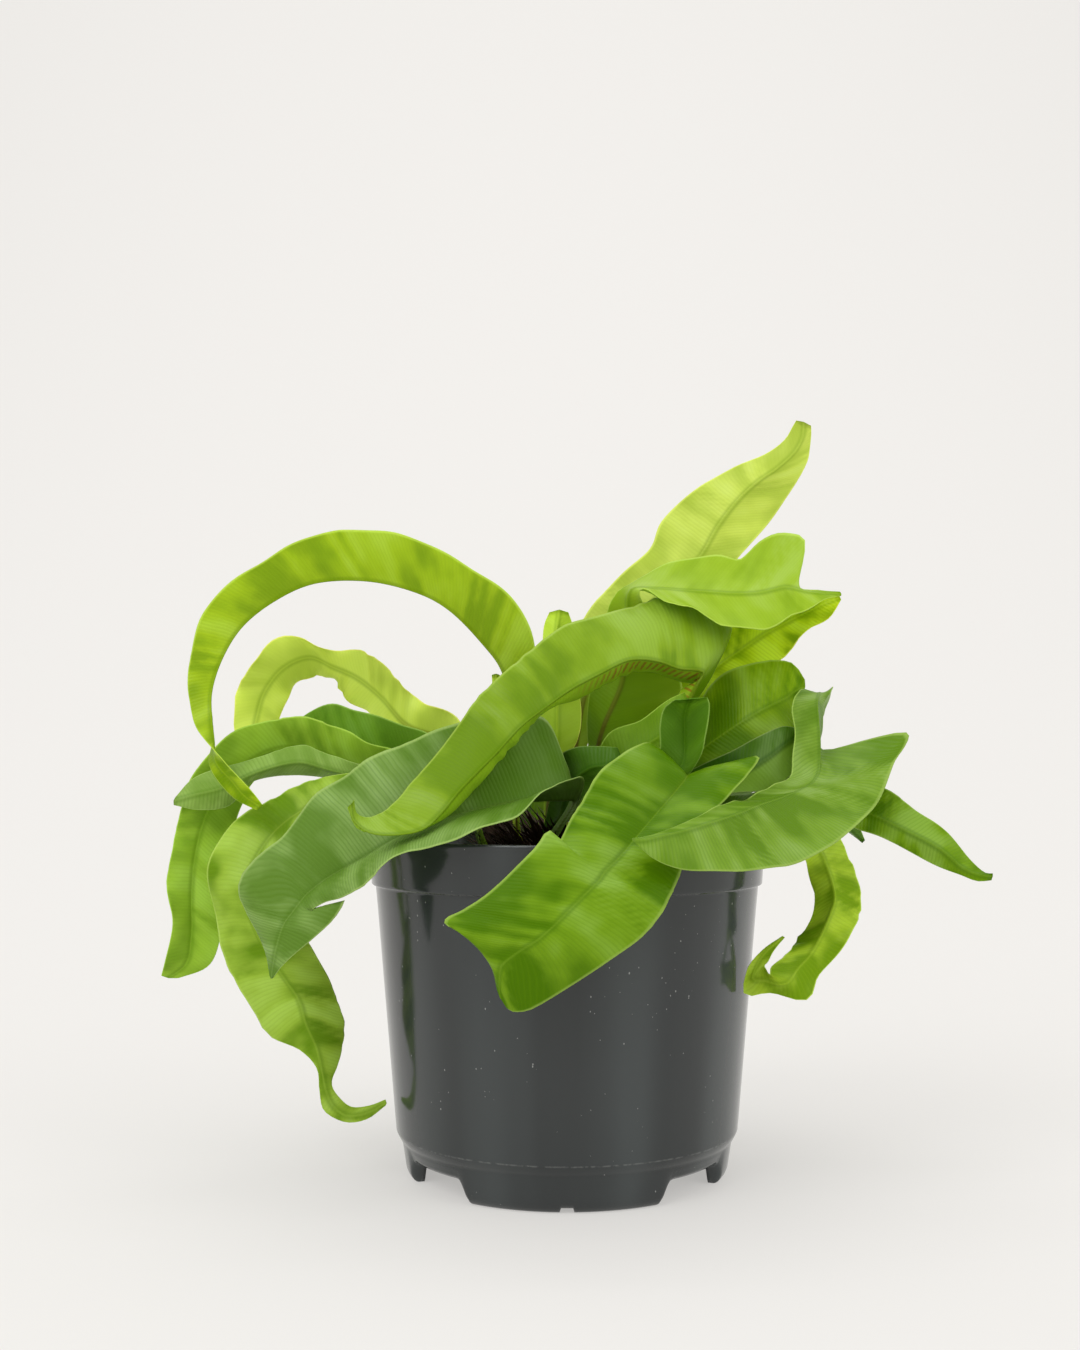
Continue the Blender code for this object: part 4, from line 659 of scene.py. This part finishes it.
def crumbly(name, dark, light, scale, roughness):
    """Peat, bark or papery scales: no gloss at all, with dark and light bits side by side and a broken surface."""
    material, tree, place = new_material(name)
    bits = noise(tree, place, scale, 5.0)
    base = blend(tree, span(tree, bits, 0.42, 0.68), dark, light)
    normal = bump(tree, 0.6, 0.0006, bits)
    dull = principled(tree, ("Base Color", base), ("Roughness", roughness), ("IOR", 1.4), ("Normal", normal))
    return finished(material, dull)


def matt_paper(paper):
    """Matt backdrop paper: a plain pale sheet with no gloss, which glows a little so that its shadows stay faint."""
    material, tree, _ = new_material("matt_backdrop_paper")
    return finished(material, principled(
        tree, ("Base Color", tinted(paper, 1.0 - PAPER_GLOW)), ("Roughness", 0.9), ("Specular IOR Level", 0.1),
        ("Emission Color", paper), ("Emission Strength", PAPER_LIGHT * PAPER_GLOW),
    ))


# Meshes


def add_piece(name, mesh, material, node):
    """Links a mesh, given its material, to the part's body in place of a solid."""
    mesh.materials.append(material)
    piece = bpy.data.objects.new(name, mesh)
    bpy.context.scene.collection.objects.link(piece)
    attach(piece, "root")
    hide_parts(node)


def mesh_of(name, points, faces, smooth=True):
    """A mesh from points in millimetres and lists of corners."""
    mesh = bpy.data.meshes.new(name)
    mesh.from_pydata((np.asarray(points) * MM).tolist(), [], [list(map(int, face)) for face in faces])
    if smooth:
        mesh.shade_smooth()
    return mesh


def outwards(bearing):
    """The level direction of a bearing."""
    return np.array((cos(radians(bearing)), sin(radians(bearing)), 0.0))


def stations_of(ring, bearing, places):
    """A frond's stations in millimetres, from the stalk's foot: one edge, the midrib and the other edge."""
    places = np.reshape(places, (-1, 3, 3)).astype(float)
    places[:, ::2] += places[:, 1:2]
    u, v, y = places.transpose(2, 0, 1)
    share = (VIEW_DISTANCE + y) / VIEW_DISTANCE
    stations = np.stack((u * share, y, VIEW_HEIGHT + (v - VIEW_HEIGHT) * share), axis=2)
    radius, surface, lean = RINGS[ring]
    foot = radius * outwards(bearing) + (surface - STALK_DEPTH) * UP
    direction = sin(radians(lean)) * outwards(bearing) + cos(radians(lean)) * UP
    flank = outwards(bearing + 90.0) * STALK_WIDTH / 2
    if np.dot(stations[0][0] - stations[0][2], flank) < 0:
        flank = -flank
    stalk = [(centre + flank, centre, centre - flank) for centre in (foot, foot + direction * STALK_STRAIGHT)]
    return np.concatenate((stalk, stations))


def hermite(values, slopes, knots, at):
    """Points on the smooth curve that has these values and slopes at its knots."""
    index = np.clip(np.searchsorted(knots, at, side="right") - 1, 0, len(knots) - 2)
    gap = (knots[index + 1] - knots[index])[:, None, None]
    part = (at - knots[index])[:, None, None] / gap
    cubic, square = part**3, part**2
    return (
        (2 * cubic - 3 * square + 1) * values[index] + (cubic - 2 * square + part) * slopes[index] * gap
        + (3 * square - 2 * cubic) * values[index + 1] + (cubic - square) * slopes[index + 1] * gap
    )


def travelled(lines):
    """How far along its middle line each row of a strip stands."""
    return np.concatenate(([0.0], np.cumsum(np.linalg.norm(np.diff(lines.mean(axis=1), axis=0), axis=1))))


def smooth_through(stations):
    """Rows at even lengths along a smooth curve through the stations, and the curve's length."""
    lengths = np.diff(travelled(stations))
    knots = np.concatenate(([0.0], np.cumsum(np.sqrt(lengths * lengths.mean()))))
    slopes = np.gradient(stations, knots, axis=0)
    fine = np.linspace(0.0, knots[-1], CURVE_SAMPLES * len(stations))
    run = travelled(hermite(stations, slopes, knots, fine))
    even = np.interp(np.linspace(0.0, run[-1], int(run[-1] / BLADE_STEP) + 1), run, fine)
    return hermite(stations, slopes, knots, even), run[-1]


def unit(vectors):
    return vectors / np.maximum(np.linalg.norm(vectors, axis=-1, keepdims=True), 1e-9)


def held(values):
    """Values kept from 0 to 1."""
    return np.clip(values, 0.0, 1.0)


def blade_surface(ring, bearing, wave, ruffle, places):
    """A frond's middle surface as a fine grid, with what the thickness and the veins need to know of it."""
    lines, length = smooth_through(stations_of(ring, bearing, places))
    middle = lines[:, 1]
    normal = unit(np.cross(np.gradient(middle, axis=0), lines[:, 2] - lines[:, 0]))
    share = np.linspace(0.0, 1.0, len(lines))
    height, waves, phase = wave
    grow, fade = WAVE_FADES
    strength = held((share - WAVE_START) * grow) * held((1.0 - share) * fade)
    still = np.zeros(len(lines))
    grid = [(middle, still, still)]
    for side, lag in ((-1, WAVE_LAG), (1, 0.0)):
        reach = lines[:, 1 + side] - middle
        width = np.linalg.norm(reach, axis=1)
        rib = np.clip(RIB_HALF_WIDTH / np.maximum(width, 0.1), 0.02, 0.45)
        columns = [0.4 * rib, 0.8 * rib]
        columns += [rib + (MARGIN_START - rib) * part for part in np.linspace(0.0, 1.0, BLADE_COLUMNS)]
        for column in [*columns, np.ones_like(rib)]:
            ripple = np.sin(2 * pi * (share * length / RUFFLE_LENGTH + 0.37 * side))
            lift = height * column**2 * np.sin(2 * pi * (waves * share + phase + lag))
            lift += ruffle * column**4 * ripple + ARCH * width * 4.0 * column * (1.0 - column)
            line = middle + column[:, None] * reach + normal * (lift * strength)[:, None]
            grid.insert(0 if side < 0 else len(grid), (line, side * column, width * column))
    points, across, far = (np.stack(part, axis=1) for part in zip(*grid))
    return points, across, far, share, length


def folds_at(vein, side):
    """The height, from -1 to 1, of a blade's irregular folds along its side veins."""
    drift = 2.3 * np.sin(2 * pi * vein / 47.0 + side) + 1.1 * np.sin(2 * pi * vein / 19.0 - 2.0 * side)
    swell = np.clip(0.45 + 0.6 * np.sin(2 * pi * vein / 71.0 + 2.2 * side + 1.2), 0.08, 1.0)
    return swell * np.sin(2 * pi * vein / FOLD_SPACING + drift)


def sheet_faces(rows, columns):
    """The faces of a closed sheet over a grid, each corner a place on the grid and a side, 1 or -1. The second
    list has the corners' places in the textures: the margin takes all of them from side 1."""
    sheet, margin = [], []
    for row in range(rows - 1):
        for column in range(columns - 1):
            square = [(row, column), (row, column + 1), (row + 1, column + 1), (row + 1, column)]
            sheet += [[(place, 1) for place in square[::-1]], [(place, -1) for place in square]]
    lines = [([(row, column) for row in range(rows)], turn) for column, turn in ((0, 1), (columns - 1, -1))]
    lines += [([(row, column) for column in range(columns)], turn) for row, turn in ((0, 1), (rows - 1, -1))]
    for line, turn in lines:
        margin += [[(a, 1), (a, -1), (b, -1), (b, 1)][::turn] for a, b in zip(line, line[1:])]
    return sheet + margin, sheet + [[(place, 1) for place, _ in face] for face in margin]


def blade_mesh(name, thickness):
    """A closed blade: its two faces, a rounded margin, a raised midrib and a stout stalk."""
    ring, bearing, wave, ruffle, fold_height, _, _, places = FRONDS[name]
    points, across, far, share, length = blade_surface(ring, bearing, wave, ruffle, places)
    rows, columns = across.shape
    middle = columns // 2
    down = np.gradient(points, axis=0)
    normal = unit(np.cross(down, np.gradient(points, axis=1)))
    inward = 0.6 * UP - outwards(bearing)
    upper = 1.0 if np.dot(normal[int(rows * STALK_SHARE), middle], inward) > 0 else -1.0
    vein = share[:, None] * length - far * VEIN_SLOPE
    fold = folds_at(vein, np.sign(across))
    reach = held(far / FOLD_START) * (held(share * FOLD_GROW) * held((1.0 - share) * FOLD_FADE))[:, None]
    step = np.linalg.norm(down, axis=2)
    crowding = step / np.maximum(step[:, middle, None], 1e-6)
    reach = reach * held(1.7 * crowding - 0.7)
    points = points + normal * (fold_height * fold * reach)[:, :, None]
    stalk = held(1.0 - share / STALK_SHARE)[:, None]
    stalk = stalk * stalk * (3 - 2 * stalk)
    roundness = np.sqrt(held(1.0 - 0.92 * across**2))
    blade = thickness * (1.0 - 0.5 * np.abs(across) ** 6)
    rib = RIB_HEIGHT * (1.0 - share[:, None]) * np.exp(-((far / (0.7 * RIB_HALF_WIDTH)) ** 2))
    half = (blade * (1 - stalk) + STALK_THICKNESS * roundness * stalk) / 2
    both = [
        points + side * normal * (half + rib * (0.3 if side == upper else 1.0))[:, :, None] for side in (1.0, -1.0)
    ]
    faces, textured = sheet_faces(rows, columns)
    corners = [[(row + rows * (side < 0)) * columns + column for (row, column), side in face] for face in faces]
    mesh = mesh_of(name, np.reshape(both, (-1, 3)), corners)
    row, column, side = np.array([(*place, side) for face in textured for place, side in face]).T
    side = side * upper
    bend = 0.5 + 0.5 * fold[row, column] * side
    for layer, first, second in (
        ("blade", 0.5 + 0.5 * across[row, column], share[row]),
        ("veins", vein[row, column] / UV_SCALE, side * (far[row, column] + SIDE_OFFSET) / UV_SCALE),
        ("folds", bend, bend),
    ):
        mesh.uv_layers.new(name=layer).uv.foreach_set("vector", np.stack((first, second), 1).ravel())
    return mesh


def near(radius, height, *steps):
    """Corners of the pot's section, each a step out and a step up from one place."""
    return [(radius + out, height + up) for out, up in steps]


def pot_section():
    """The pot's outline from the middle of the floor's top, out over the rim and back under the floor."""
    rim, band, body, foot = RIM_TOP, BAND_BOTTOM, BODY_BOTTOM, FOOT_TOP
    floor_top, bead = FLOOR_BOTTOM + FLOOR_THICKNESS, WALL / 2
    return [
        *near(0.0, floor_top, (0.0, 0.0), (20.0, 0.0), (30.0, 0.0), (46.0, 0.0)),
        *near(foot[0] - WALL, floor_top, (-1.6, 0.0), (-0.5, 0.5), (0.0, 1.6)),
        *near(foot[0] - WALL, foot[1], (0.2, 0.6)),
        *near(body[0] - WALL, body[1], (-0.4, -0.4), (0.0, 1.0)),
        *((pot_inside(height), height) for height in (30.0, 60.0, 90.0, 110.0, 115.0)),
        *near(BODY_TOP_RADIUS - WALL, band[1], (0.1, 0.6)),
        *near(band[0] - WALL, band[1], (-0.2, 2.4), (0.1, 4.0)),
        *near(rim[0] - WALL, rim[1], (-0.05, -3.0)),
        *near(rim[0] - bead, rim[1] - bead, *((-bead * cos(pi * i / 8), bead * sin(pi * i / 8)) for i in range(9))),
        *near(*rim, (0.05, -1.5), (-0.12, -2.1), (-0.2, -4.0)),
        *near(*band, (0.35, 6.0), (0.05, 1.4), (0.0, 0.45), (-0.25, 0.08), (-0.7, -0.02)),
        *near(BODY_TOP_RADIUS, band[1], (0.25, -0.15), (0.04, -0.5), (0.0, -1.2)),
        *((pot_inside(height) + WALL, height) for height in (105.0, 80.0, 55.0, 35.0, 22.0)),
        *near(*body, (0.06, 1.2), (0.0, 0.2), (-0.15, -0.35), (-0.7, -1.5)),
        *near(*foot, (0.9, 1.2), (0.15, 0.4), (0.0, -0.4)),
        (64.6, 9.0), (64.1, 5.6), (63.8, 3.6), (63.2, 2.1), (62.3, 0.9), (61.4, 0.25),
        (GROUND_RING[1], 0.0), (GROUND_RING[0], 0.0), (60.2, 0.5), (61.2, 2.2), (62.0, 4.2), (62.4, 6.4), (62.2, 8.4),
        *near(0.0, FLOOR_BOTTOM, (61.6, 0.0), (46.0, 0.0), (30.0, 0.0), (20.0, 0.0), (0.0, 0.0)),
    ]


def pot_inside(height):
    """The inside of the pot's body at a height, in millimetres."""
    share = (height - BODY_BOTTOM[1]) / (BAND_BOTTOM[1] - BODY_BOTTOM[1])
    return BODY_BOTTOM[0] + share * (BODY_TOP_RADIUS - BODY_BOTTOM[0]) - WALL


def foot_edge(bearing):
    """How high the foot wall's lower edge stands at a bearing: up in the gaps and the small slots."""
    height = 0.0
    for middle in FOOT_GAP_BEARINGS:
        turned = (bearing - middle + 180.0) % 360.0 - 180.0
        if abs(turned) < 60.0:
            aside = FOOT_WALL_RADIUS * abs(sin(radians(turned)))
            height = max(height, np.interp(aside, FOOT_GAP_PLACES, FOOT_GAP_HEIGHTS))
    for middle in FOOT_SLOT_BEARINGS:
        turned = (bearing - middle + 180.0) % 360.0 - 180.0
        aside = FOOT_WALL_RADIUS * abs(radians(turned))
        height = max(height, np.interp(aside, (SLOT_HALF, SLOT_HALF + SLOT_BEVEL), (SLOT_HEIGHT, 0.0)))
    return height


def pot_bearings():
    """Bearings round the pot, closer together where the feet have their corners."""
    bearings = set(np.arange(0.0, 360.0, 2.0))
    for gap in FOOT_GAP_BEARINGS:
        corner = np.degrees(np.arcsin(np.linspace(12.0, 20.5, 18) / FOOT_WALL_RADIUS))
        bearings.update(np.round(gap + np.concatenate((-corner, corner)), 3) % 360.0)
    for slot in FOOT_SLOT_BEARINGS:
        half = SLOT_HALF + SLOT_BEVEL
        places = np.array((-half, -SLOT_HALF, 0.0, SLOT_HALF, half))
        bearings.update(np.round(slot + np.degrees(places / FOOT_WALL_RADIUS), 3) % 360.0)
    ordered = sorted(bearings)
    return [b for b, after in zip(ordered, ordered[1:] + [ordered[0] + 360.0]) if after - b > 0.2]


def ring_of(radius, height, turns):
    """A level ring of points."""
    angles = [2 * pi * turn / turns for turn in range(turns)]
    return [(radius * cos(angle), radius * sin(angle), height) for angle in angles]


def ring_walls(start, rings, turns, flipped=False):
    """The faces between rings of points that follow each other from a start."""
    faces = []
    for low in range(start, start + (rings - 1) * turns, turns):
        for turn in range(turns):
            after = (turn + 1) % turns
            face = (low + turn, low + after, low + turns + after, low + turns + turn)
            faces.append((face[0], *face[:0:-1]) if flipped else face)
    return faces


def pot_mesh():
    """The whole pot as one turned surface whose foot wall is lifted between the feet."""
    section, bearings = pot_section(), pot_bearings()
    points, turns = [], len(bearings)
    for radius, height in section[1:-1]:
        top = FLOOR_BOTTOM + 0.6 if radius < FOOT_WALL_RADIUS - 1.0 else FOOT_TOP[1]
        for bearing in bearings:
            lifted = height
            if radius >= GROUND_RING[0] and height <= FLOOR_BOTTOM:
                lift = foot_edge(bearing)
                lifted = lift + height * (top - lift) / top
            points.append((radius * cos(radians(bearing)), radius * sin(radians(bearing)), lifted))
    faces = ring_walls(0, len(section) - 2, turns)
    last = len(points) - turns
    points += [(0.0, 0.0, section[0][1]), (0.0, 0.0, section[-1][1])]
    for turn in range(turns):
        after = (turn + 1) % turns
        faces += [(len(points) - 2, after, turn), (len(points) - 1, last + turn, last + after)]
    return mesh_of("pot_shell", points, [face[::-1] for face in faces])


def with_drain_holes(mesh):
    """The pot with its round drain holes cut through the floor."""
    target = bpy.data.objects.new("with_holes", mesh)
    used = [target]
    for number in range(DRAIN_HOLES):
        angle = 2 * pi * (number + DRAIN_TURN) / DRAIN_HOLES
        bm = bmesh.new()
        bmesh.ops.create_cone(
            bm, cap_ends=True, segments=32, radius1=DRAIN_RADIUS * MM, radius2=DRAIN_RADIUS * MM, depth=DRAIN_CUT * MM
        )
        cutter = bpy.data.objects.new("drain", bpy.data.meshes.new("drain"))
        bm.to_mesh(cutter.data)
        bm.free()
        place = (DRAIN_CIRCLE * cos(angle), DRAIN_CIRCLE * sin(angle), FLOOR_BOTTOM + FLOOR_THICKNESS / 2)
        cutter.location = Vector(place) * MM
        cut = target.modifiers.new("drain", "BOOLEAN")
        cut.operation, cut.solver, cut.object = "DIFFERENCE", "EXACT", cutter
        used.append(cutter)
    for item in used:
        bpy.context.scene.collection.objects.link(item)
    made = bpy.data.meshes.new_from_object(target.evaluated_get(bpy.context.evaluated_depsgraph_get()))
    for item in used:
        bpy.data.objects.remove(item, do_unlink=True)
    made.name = mesh.name
    return made


def crumb_points(rng, centre, size):
    """A broken crumb: an eight-cornered block with every corner moved."""
    corners = np.array([(x, y, z) for x in (-1, 1) for y in (-1, 1) for z in (-1, 1)], float)
    corners *= size * rng.uniform(0.35, 1.0, 3) / 2
    corners += rng.uniform(-0.12, 0.12, corners.shape) * size
    return corners @ np.array(Quaternion(unit(rng.normal(size=4))).to_matrix()).T + centre


def mix_mesh(crumb_size):
    """Potting mix: a lumpy top with crumbs lying on it, and plain sides down to the pot's floor."""
    rng = np.random.default_rng(SEED)
    turns = MIX_TURNS
    points = [(0.0, 0.0, soil_height(0.0, 0.0))]
    for radius in np.linspace(8.0, pot_inside(SOIL_TOP) - CLEARANCE, MIX_RINGS):
        sunk = MIX_SLOPE * max(0.0, radius - MIX_LEVEL)
        for x, y, _ in ring_of(radius, 0.0, turns):
            points.append((x, y, soil_height(x, y) - sunk + rng.uniform(-MIX_LUMP, MIX_LUMP)))
    for radius, height in ((pot_inside(90.0) - 0.6, 90.0), (pot_inside(20.0) - 0.6, 20.0), MIX_BOTTOM):
        points += ring_of(radius, height, turns)
    faces = ring_walls(1, len(points) // turns, turns, flipped=True)
    faces += [(0, 1 + turn, 1 + (turn + 1) % turns) for turn in range(turns)]
    faces.append(range(len(points) - 1, len(points) - 1 - turns, -1))
    for _ in range(CRUMBS):
        x, y, _ = CRUMB_REACH * np.sqrt(rng.uniform(CRUMB_FREE, 1.0)) * outwards(rng.uniform(0.0, 360.0))
        size = crumb_size / MM * rng.uniform(0.25, 1.0)
        faces += [[len(points) + corner for corner in face] for face in CRUMB_FACES]
        points += crumb_points(rng, (x, y, soil_height(x, y) + 0.15 * size), size).tolist()
    return mesh_of("potting_mix", points, faces, smooth=False)


def soil_height(x, y):
    """The height of the mix's top, as the solid has it, in millimetres."""
    return SOIL_TOP + SOIL_RISE * (0.5 * sin(0.31 * x + 1.1) + 0.5 * sin(0.37 * y + 0.23 * x))


def on_crown(x, y):
    """The place just under the crown's surface where a scale is rooted."""
    return np.array((x, y, np.interp(hypot(x, y), *zip(*CROWN_SECTION[:-2])) - SCALE_ROOT))


def crown_mesh():
    """The crown: a dome under rings of narrow papery scales that point up and out."""
    rng = np.random.default_rng(SEED + 1)
    turns, section = CROWN_TURNS, [*CROWN_SECTION[1:], (CROWN_RADIUS - 1.0, CROWN_BOTTOM)]
    points = [point for radius, height in section for point in ring_of(radius, height, turns)]
    faces = ring_walls(0, len(section), turns, flipped=True)
    faces += [range(turns), range(len(points) - 1, len(points) - 1 - turns, -1)]
    sprouts = []
    for x, y, length, width in CROWN_STUBS:
        sprouts.append((on_crown(x, y), UP, outwards(90.0), outwards(0.0), length, width, STUB_THICKNESS))
    for number in range(CROWN_SCALES):
        radius, bearing = SCALE_REACH * np.sqrt(rng.uniform(0.0, 1.0)), rng.uniform(0.0, 360.0)
        out, side = outwards(bearing), outwards(bearing + 90.0)
        root = on_crown(*(radius * out)[:2])
        length, width = rng.uniform(*SCALE_LENGTHS), rng.uniform(*SCALE_WIDTHS)
        if number % TUFT_EVERY == 0:
            length, width = (1.7 - 0.7 * out[0]) * length, 1.5 * width
        lean = rng.uniform(*SCALE_LEANS)
        rise = unit(out * sin(lean) + UP * cos(lean) + side * rng.uniform(-0.3, 0.3))
        sprouts.append((root, rise, out, side, length, width, SCALE_THICKNESS))
    for root, rise, out, side, length, width, thick in sprouts:
        start, face = len(points), unit(np.cross(side, rise))
        for part, wide in SCALE_OUTLINE:
            middle = root + length * (rise * part + out * SCALE_CURL * part**2)
            flank, front = side * width * wide / 2, face * thick * wide
            points += [tuple(middle + offset) for offset in (flank, front, -flank, -front)]
        faces += ring_walls(start, 4, 4)
        faces += [range(start + 3, start - 1, -1), range(start + 12, start + 16)]
    return mesh_of("crown_with_scales", points, faces, smooth=False)


# Operators


class FERN_OT_pot(bpy.types.Operator):
    """Builds the nursery pot"""

    bl_idname = "fern.pot"
    bl_label = "Nursery pot"

    def execute(self, context):
        plastic = moulded_polypropylene(context.scene.fern_pot)
        add_piece("nursery_pot", with_drain_holes(pot_mesh()), plastic, "pot")
        return {"FINISHED"}


class FERN_OT_mix(bpy.types.Operator):
    """Builds the potting mix and the crown that the fronds stand in"""

    bl_idname = "fern.mix"
    bl_label = "Potting mix and crown"

    def execute(self, context):
        looks = context.scene.fern_mix
        peat = crumbly("moist_peat", looks.peat, looks.bark, 260.0, 0.95)
        papery = crumbly("papery_scales", tinted(looks.scales, 0.55), looks.scales, 180.0, 0.8)
        add_piece("potting_mix", mix_mesh(looks.grain), peat, "soil")
        add_piece("crown_with_scales", crown_mesh(), papery, "crown")
        return {"FINISHED"}


class FERN_OT_fronds(bpy.types.Operator):
    """Builds every frond"""

    bl_idname = "fern.fronds"
    bl_label = "Fronds"

    def execute(self, context):
        looks = context.scene.fern_fronds
        for name, (*_, colour, tint, _) in FRONDS.items():
            slot, *waxy = LEAVES[colour]
            # The tint brings the frond's painted light and shade into its colour
            own = tuple(min(1.0, c * t) for c, t in zip(getattr(looks, colour), (*tint, 1.0)))
            leaf = living_leaf("living_leaf_" + colour, own, looks.rib, looks.vein / MM, *waxy)
            add_piece(name + "_blade", blade_mesh(name, looks.blade / MM), leaf, name)
        return {"FINISHED"}


class FERN_OT_stage(bpy.types.Operator):
    """Builds the floor, backdrop, lights and camera"""

    bl_idname = "fern.stage"
    bl_label = "Stage"

    def execute(self, context):
        scene = context.scene
        bends = [(BACKDROP_FRONT, 0.0), (SWEEP_START, 0.0)]
        for angle in (pi / 2 * step / SWEEP_STEPS for step in range(1, SWEEP_STEPS + 1)):
            bends.append((SWEEP_START + SWEEP_RADIUS * sin(angle), SWEEP_RADIUS * (1.0 - cos(angle))))
        bends.append((SWEEP_START + SWEEP_RADIUS, BACKDROP_REACH))
        points = [(x, y, z) for y, z in bends for x in (-BACKDROP_REACH, BACKDROP_REACH)]
        faces = [(i, i + 1, i + 3, i + 2) for i in range(0, len(points) - 2, 2)]
        sheet = bpy.data.objects.new("backdrop", mesh_of("backdrop", points, faces))
        sheet.data.materials.append(matt_paper(tuple(scene.fern_stage.floor)))
        scene.collection.objects.link(sheet)
        scene.world = bpy.data.worlds.new("studio")
        scene.world.use_nodes = True
        tree = scene.world.node_tree
        air = tree.nodes["Background"]
        air.inputs[0].default_value = WORLD_COLOUR
        direction = add_node(tree, "TexCoord").outputs["Generated"]
        depth = add_node(tree, "SeparateXYZ", [(0, direction)]).outputs[1]
        strength = ease(tree, depth, -1.0, -0.3, WORLD_STRENGTH * CAMERA_SIDE, WORLD_STRENGTH)
        tree.links.new(strength, air.inputs[1])
        camera = bpy.data.cameras.new("camera")
        camera.lens, camera.sensor_width, camera.clip_start = LENS, SENSOR_WIDTH, 0.05
        camera.shift_x, camera.shift_y = CAMERA_SHIFT
        scene.camera = bpy.data.objects.new("camera", camera)
        scene.camera.location = (0.0, -CAMERA_DISTANCE * MM, VIEW_HEIGHT * MM)
        scene.camera.rotation_euler = (radians(90.0), 0.0, 0.0)
        scene.collection.objects.link(scene.camera)
        for name, place, aim, size, watts in LAMPS:
            lamp = bpy.data.lights.new(name, "AREA")
            lamp.shape, lamp.size, lamp.size_y, lamp.energy = "RECTANGLE", *size, watts
            lit = bpy.data.objects.new(name, lamp)
            lit.location = place
            lit.rotation_euler = (Vector(aim) - Vector(place)).to_track_quat("-Z", "Y").to_euler()
            scene.collection.objects.link(lit)
        scene.view_settings.view_transform = "Standard"
        return {"FINISHED"}


class FERN_PT_panel(bpy.types.Panel):
    """Lists what the fern is built from"""

    bl_idname = "FERN_PT_panel"
    bl_label = "Potted bird's nest fern"
    bl_space_type = "VIEW_3D"
    bl_region_type = "UI"
    bl_category = "Fern"

    def draw(self, context):
        for group in SETTINGS:
            box = self.layout.box()
            for key in group.__annotations__:
                box.prop(getattr(context.scene, SETTINGS[group]), key)
        for operator in OPERATORS:
            self.layout.operator(operator.bl_idname)


SETTINGS = {PotLooks: "fern_pot", MixLooks: "fern_mix", FrondLooks: "fern_fronds", StageLooks: "fern_stage"}
OPERATORS = (FERN_OT_pot, FERN_OT_mix, FERN_OT_fronds, FERN_OT_stage)


def register():
    for kind in (*SETTINGS, *OPERATORS, FERN_PT_panel):
        bpy.utils.register_class(kind)
    for group, name in SETTINGS.items():
        setattr(bpy.types.Scene, name, bpy.props.PointerProperty(type=group))


def unregister():
    for name in SETTINGS.values():
        delattr(bpy.types.Scene, name)
    for kind in (FERN_PT_panel, *OPERATORS, *SETTINGS):
        bpy.utils.unregister_class(kind)


def main():
    register()
    bpy.ops.fern.pot()
    bpy.ops.fern.mix()
    bpy.ops.fern.fronds()
    bpy.ops.fern.stage()


if __name__ == "__main__":
    main()
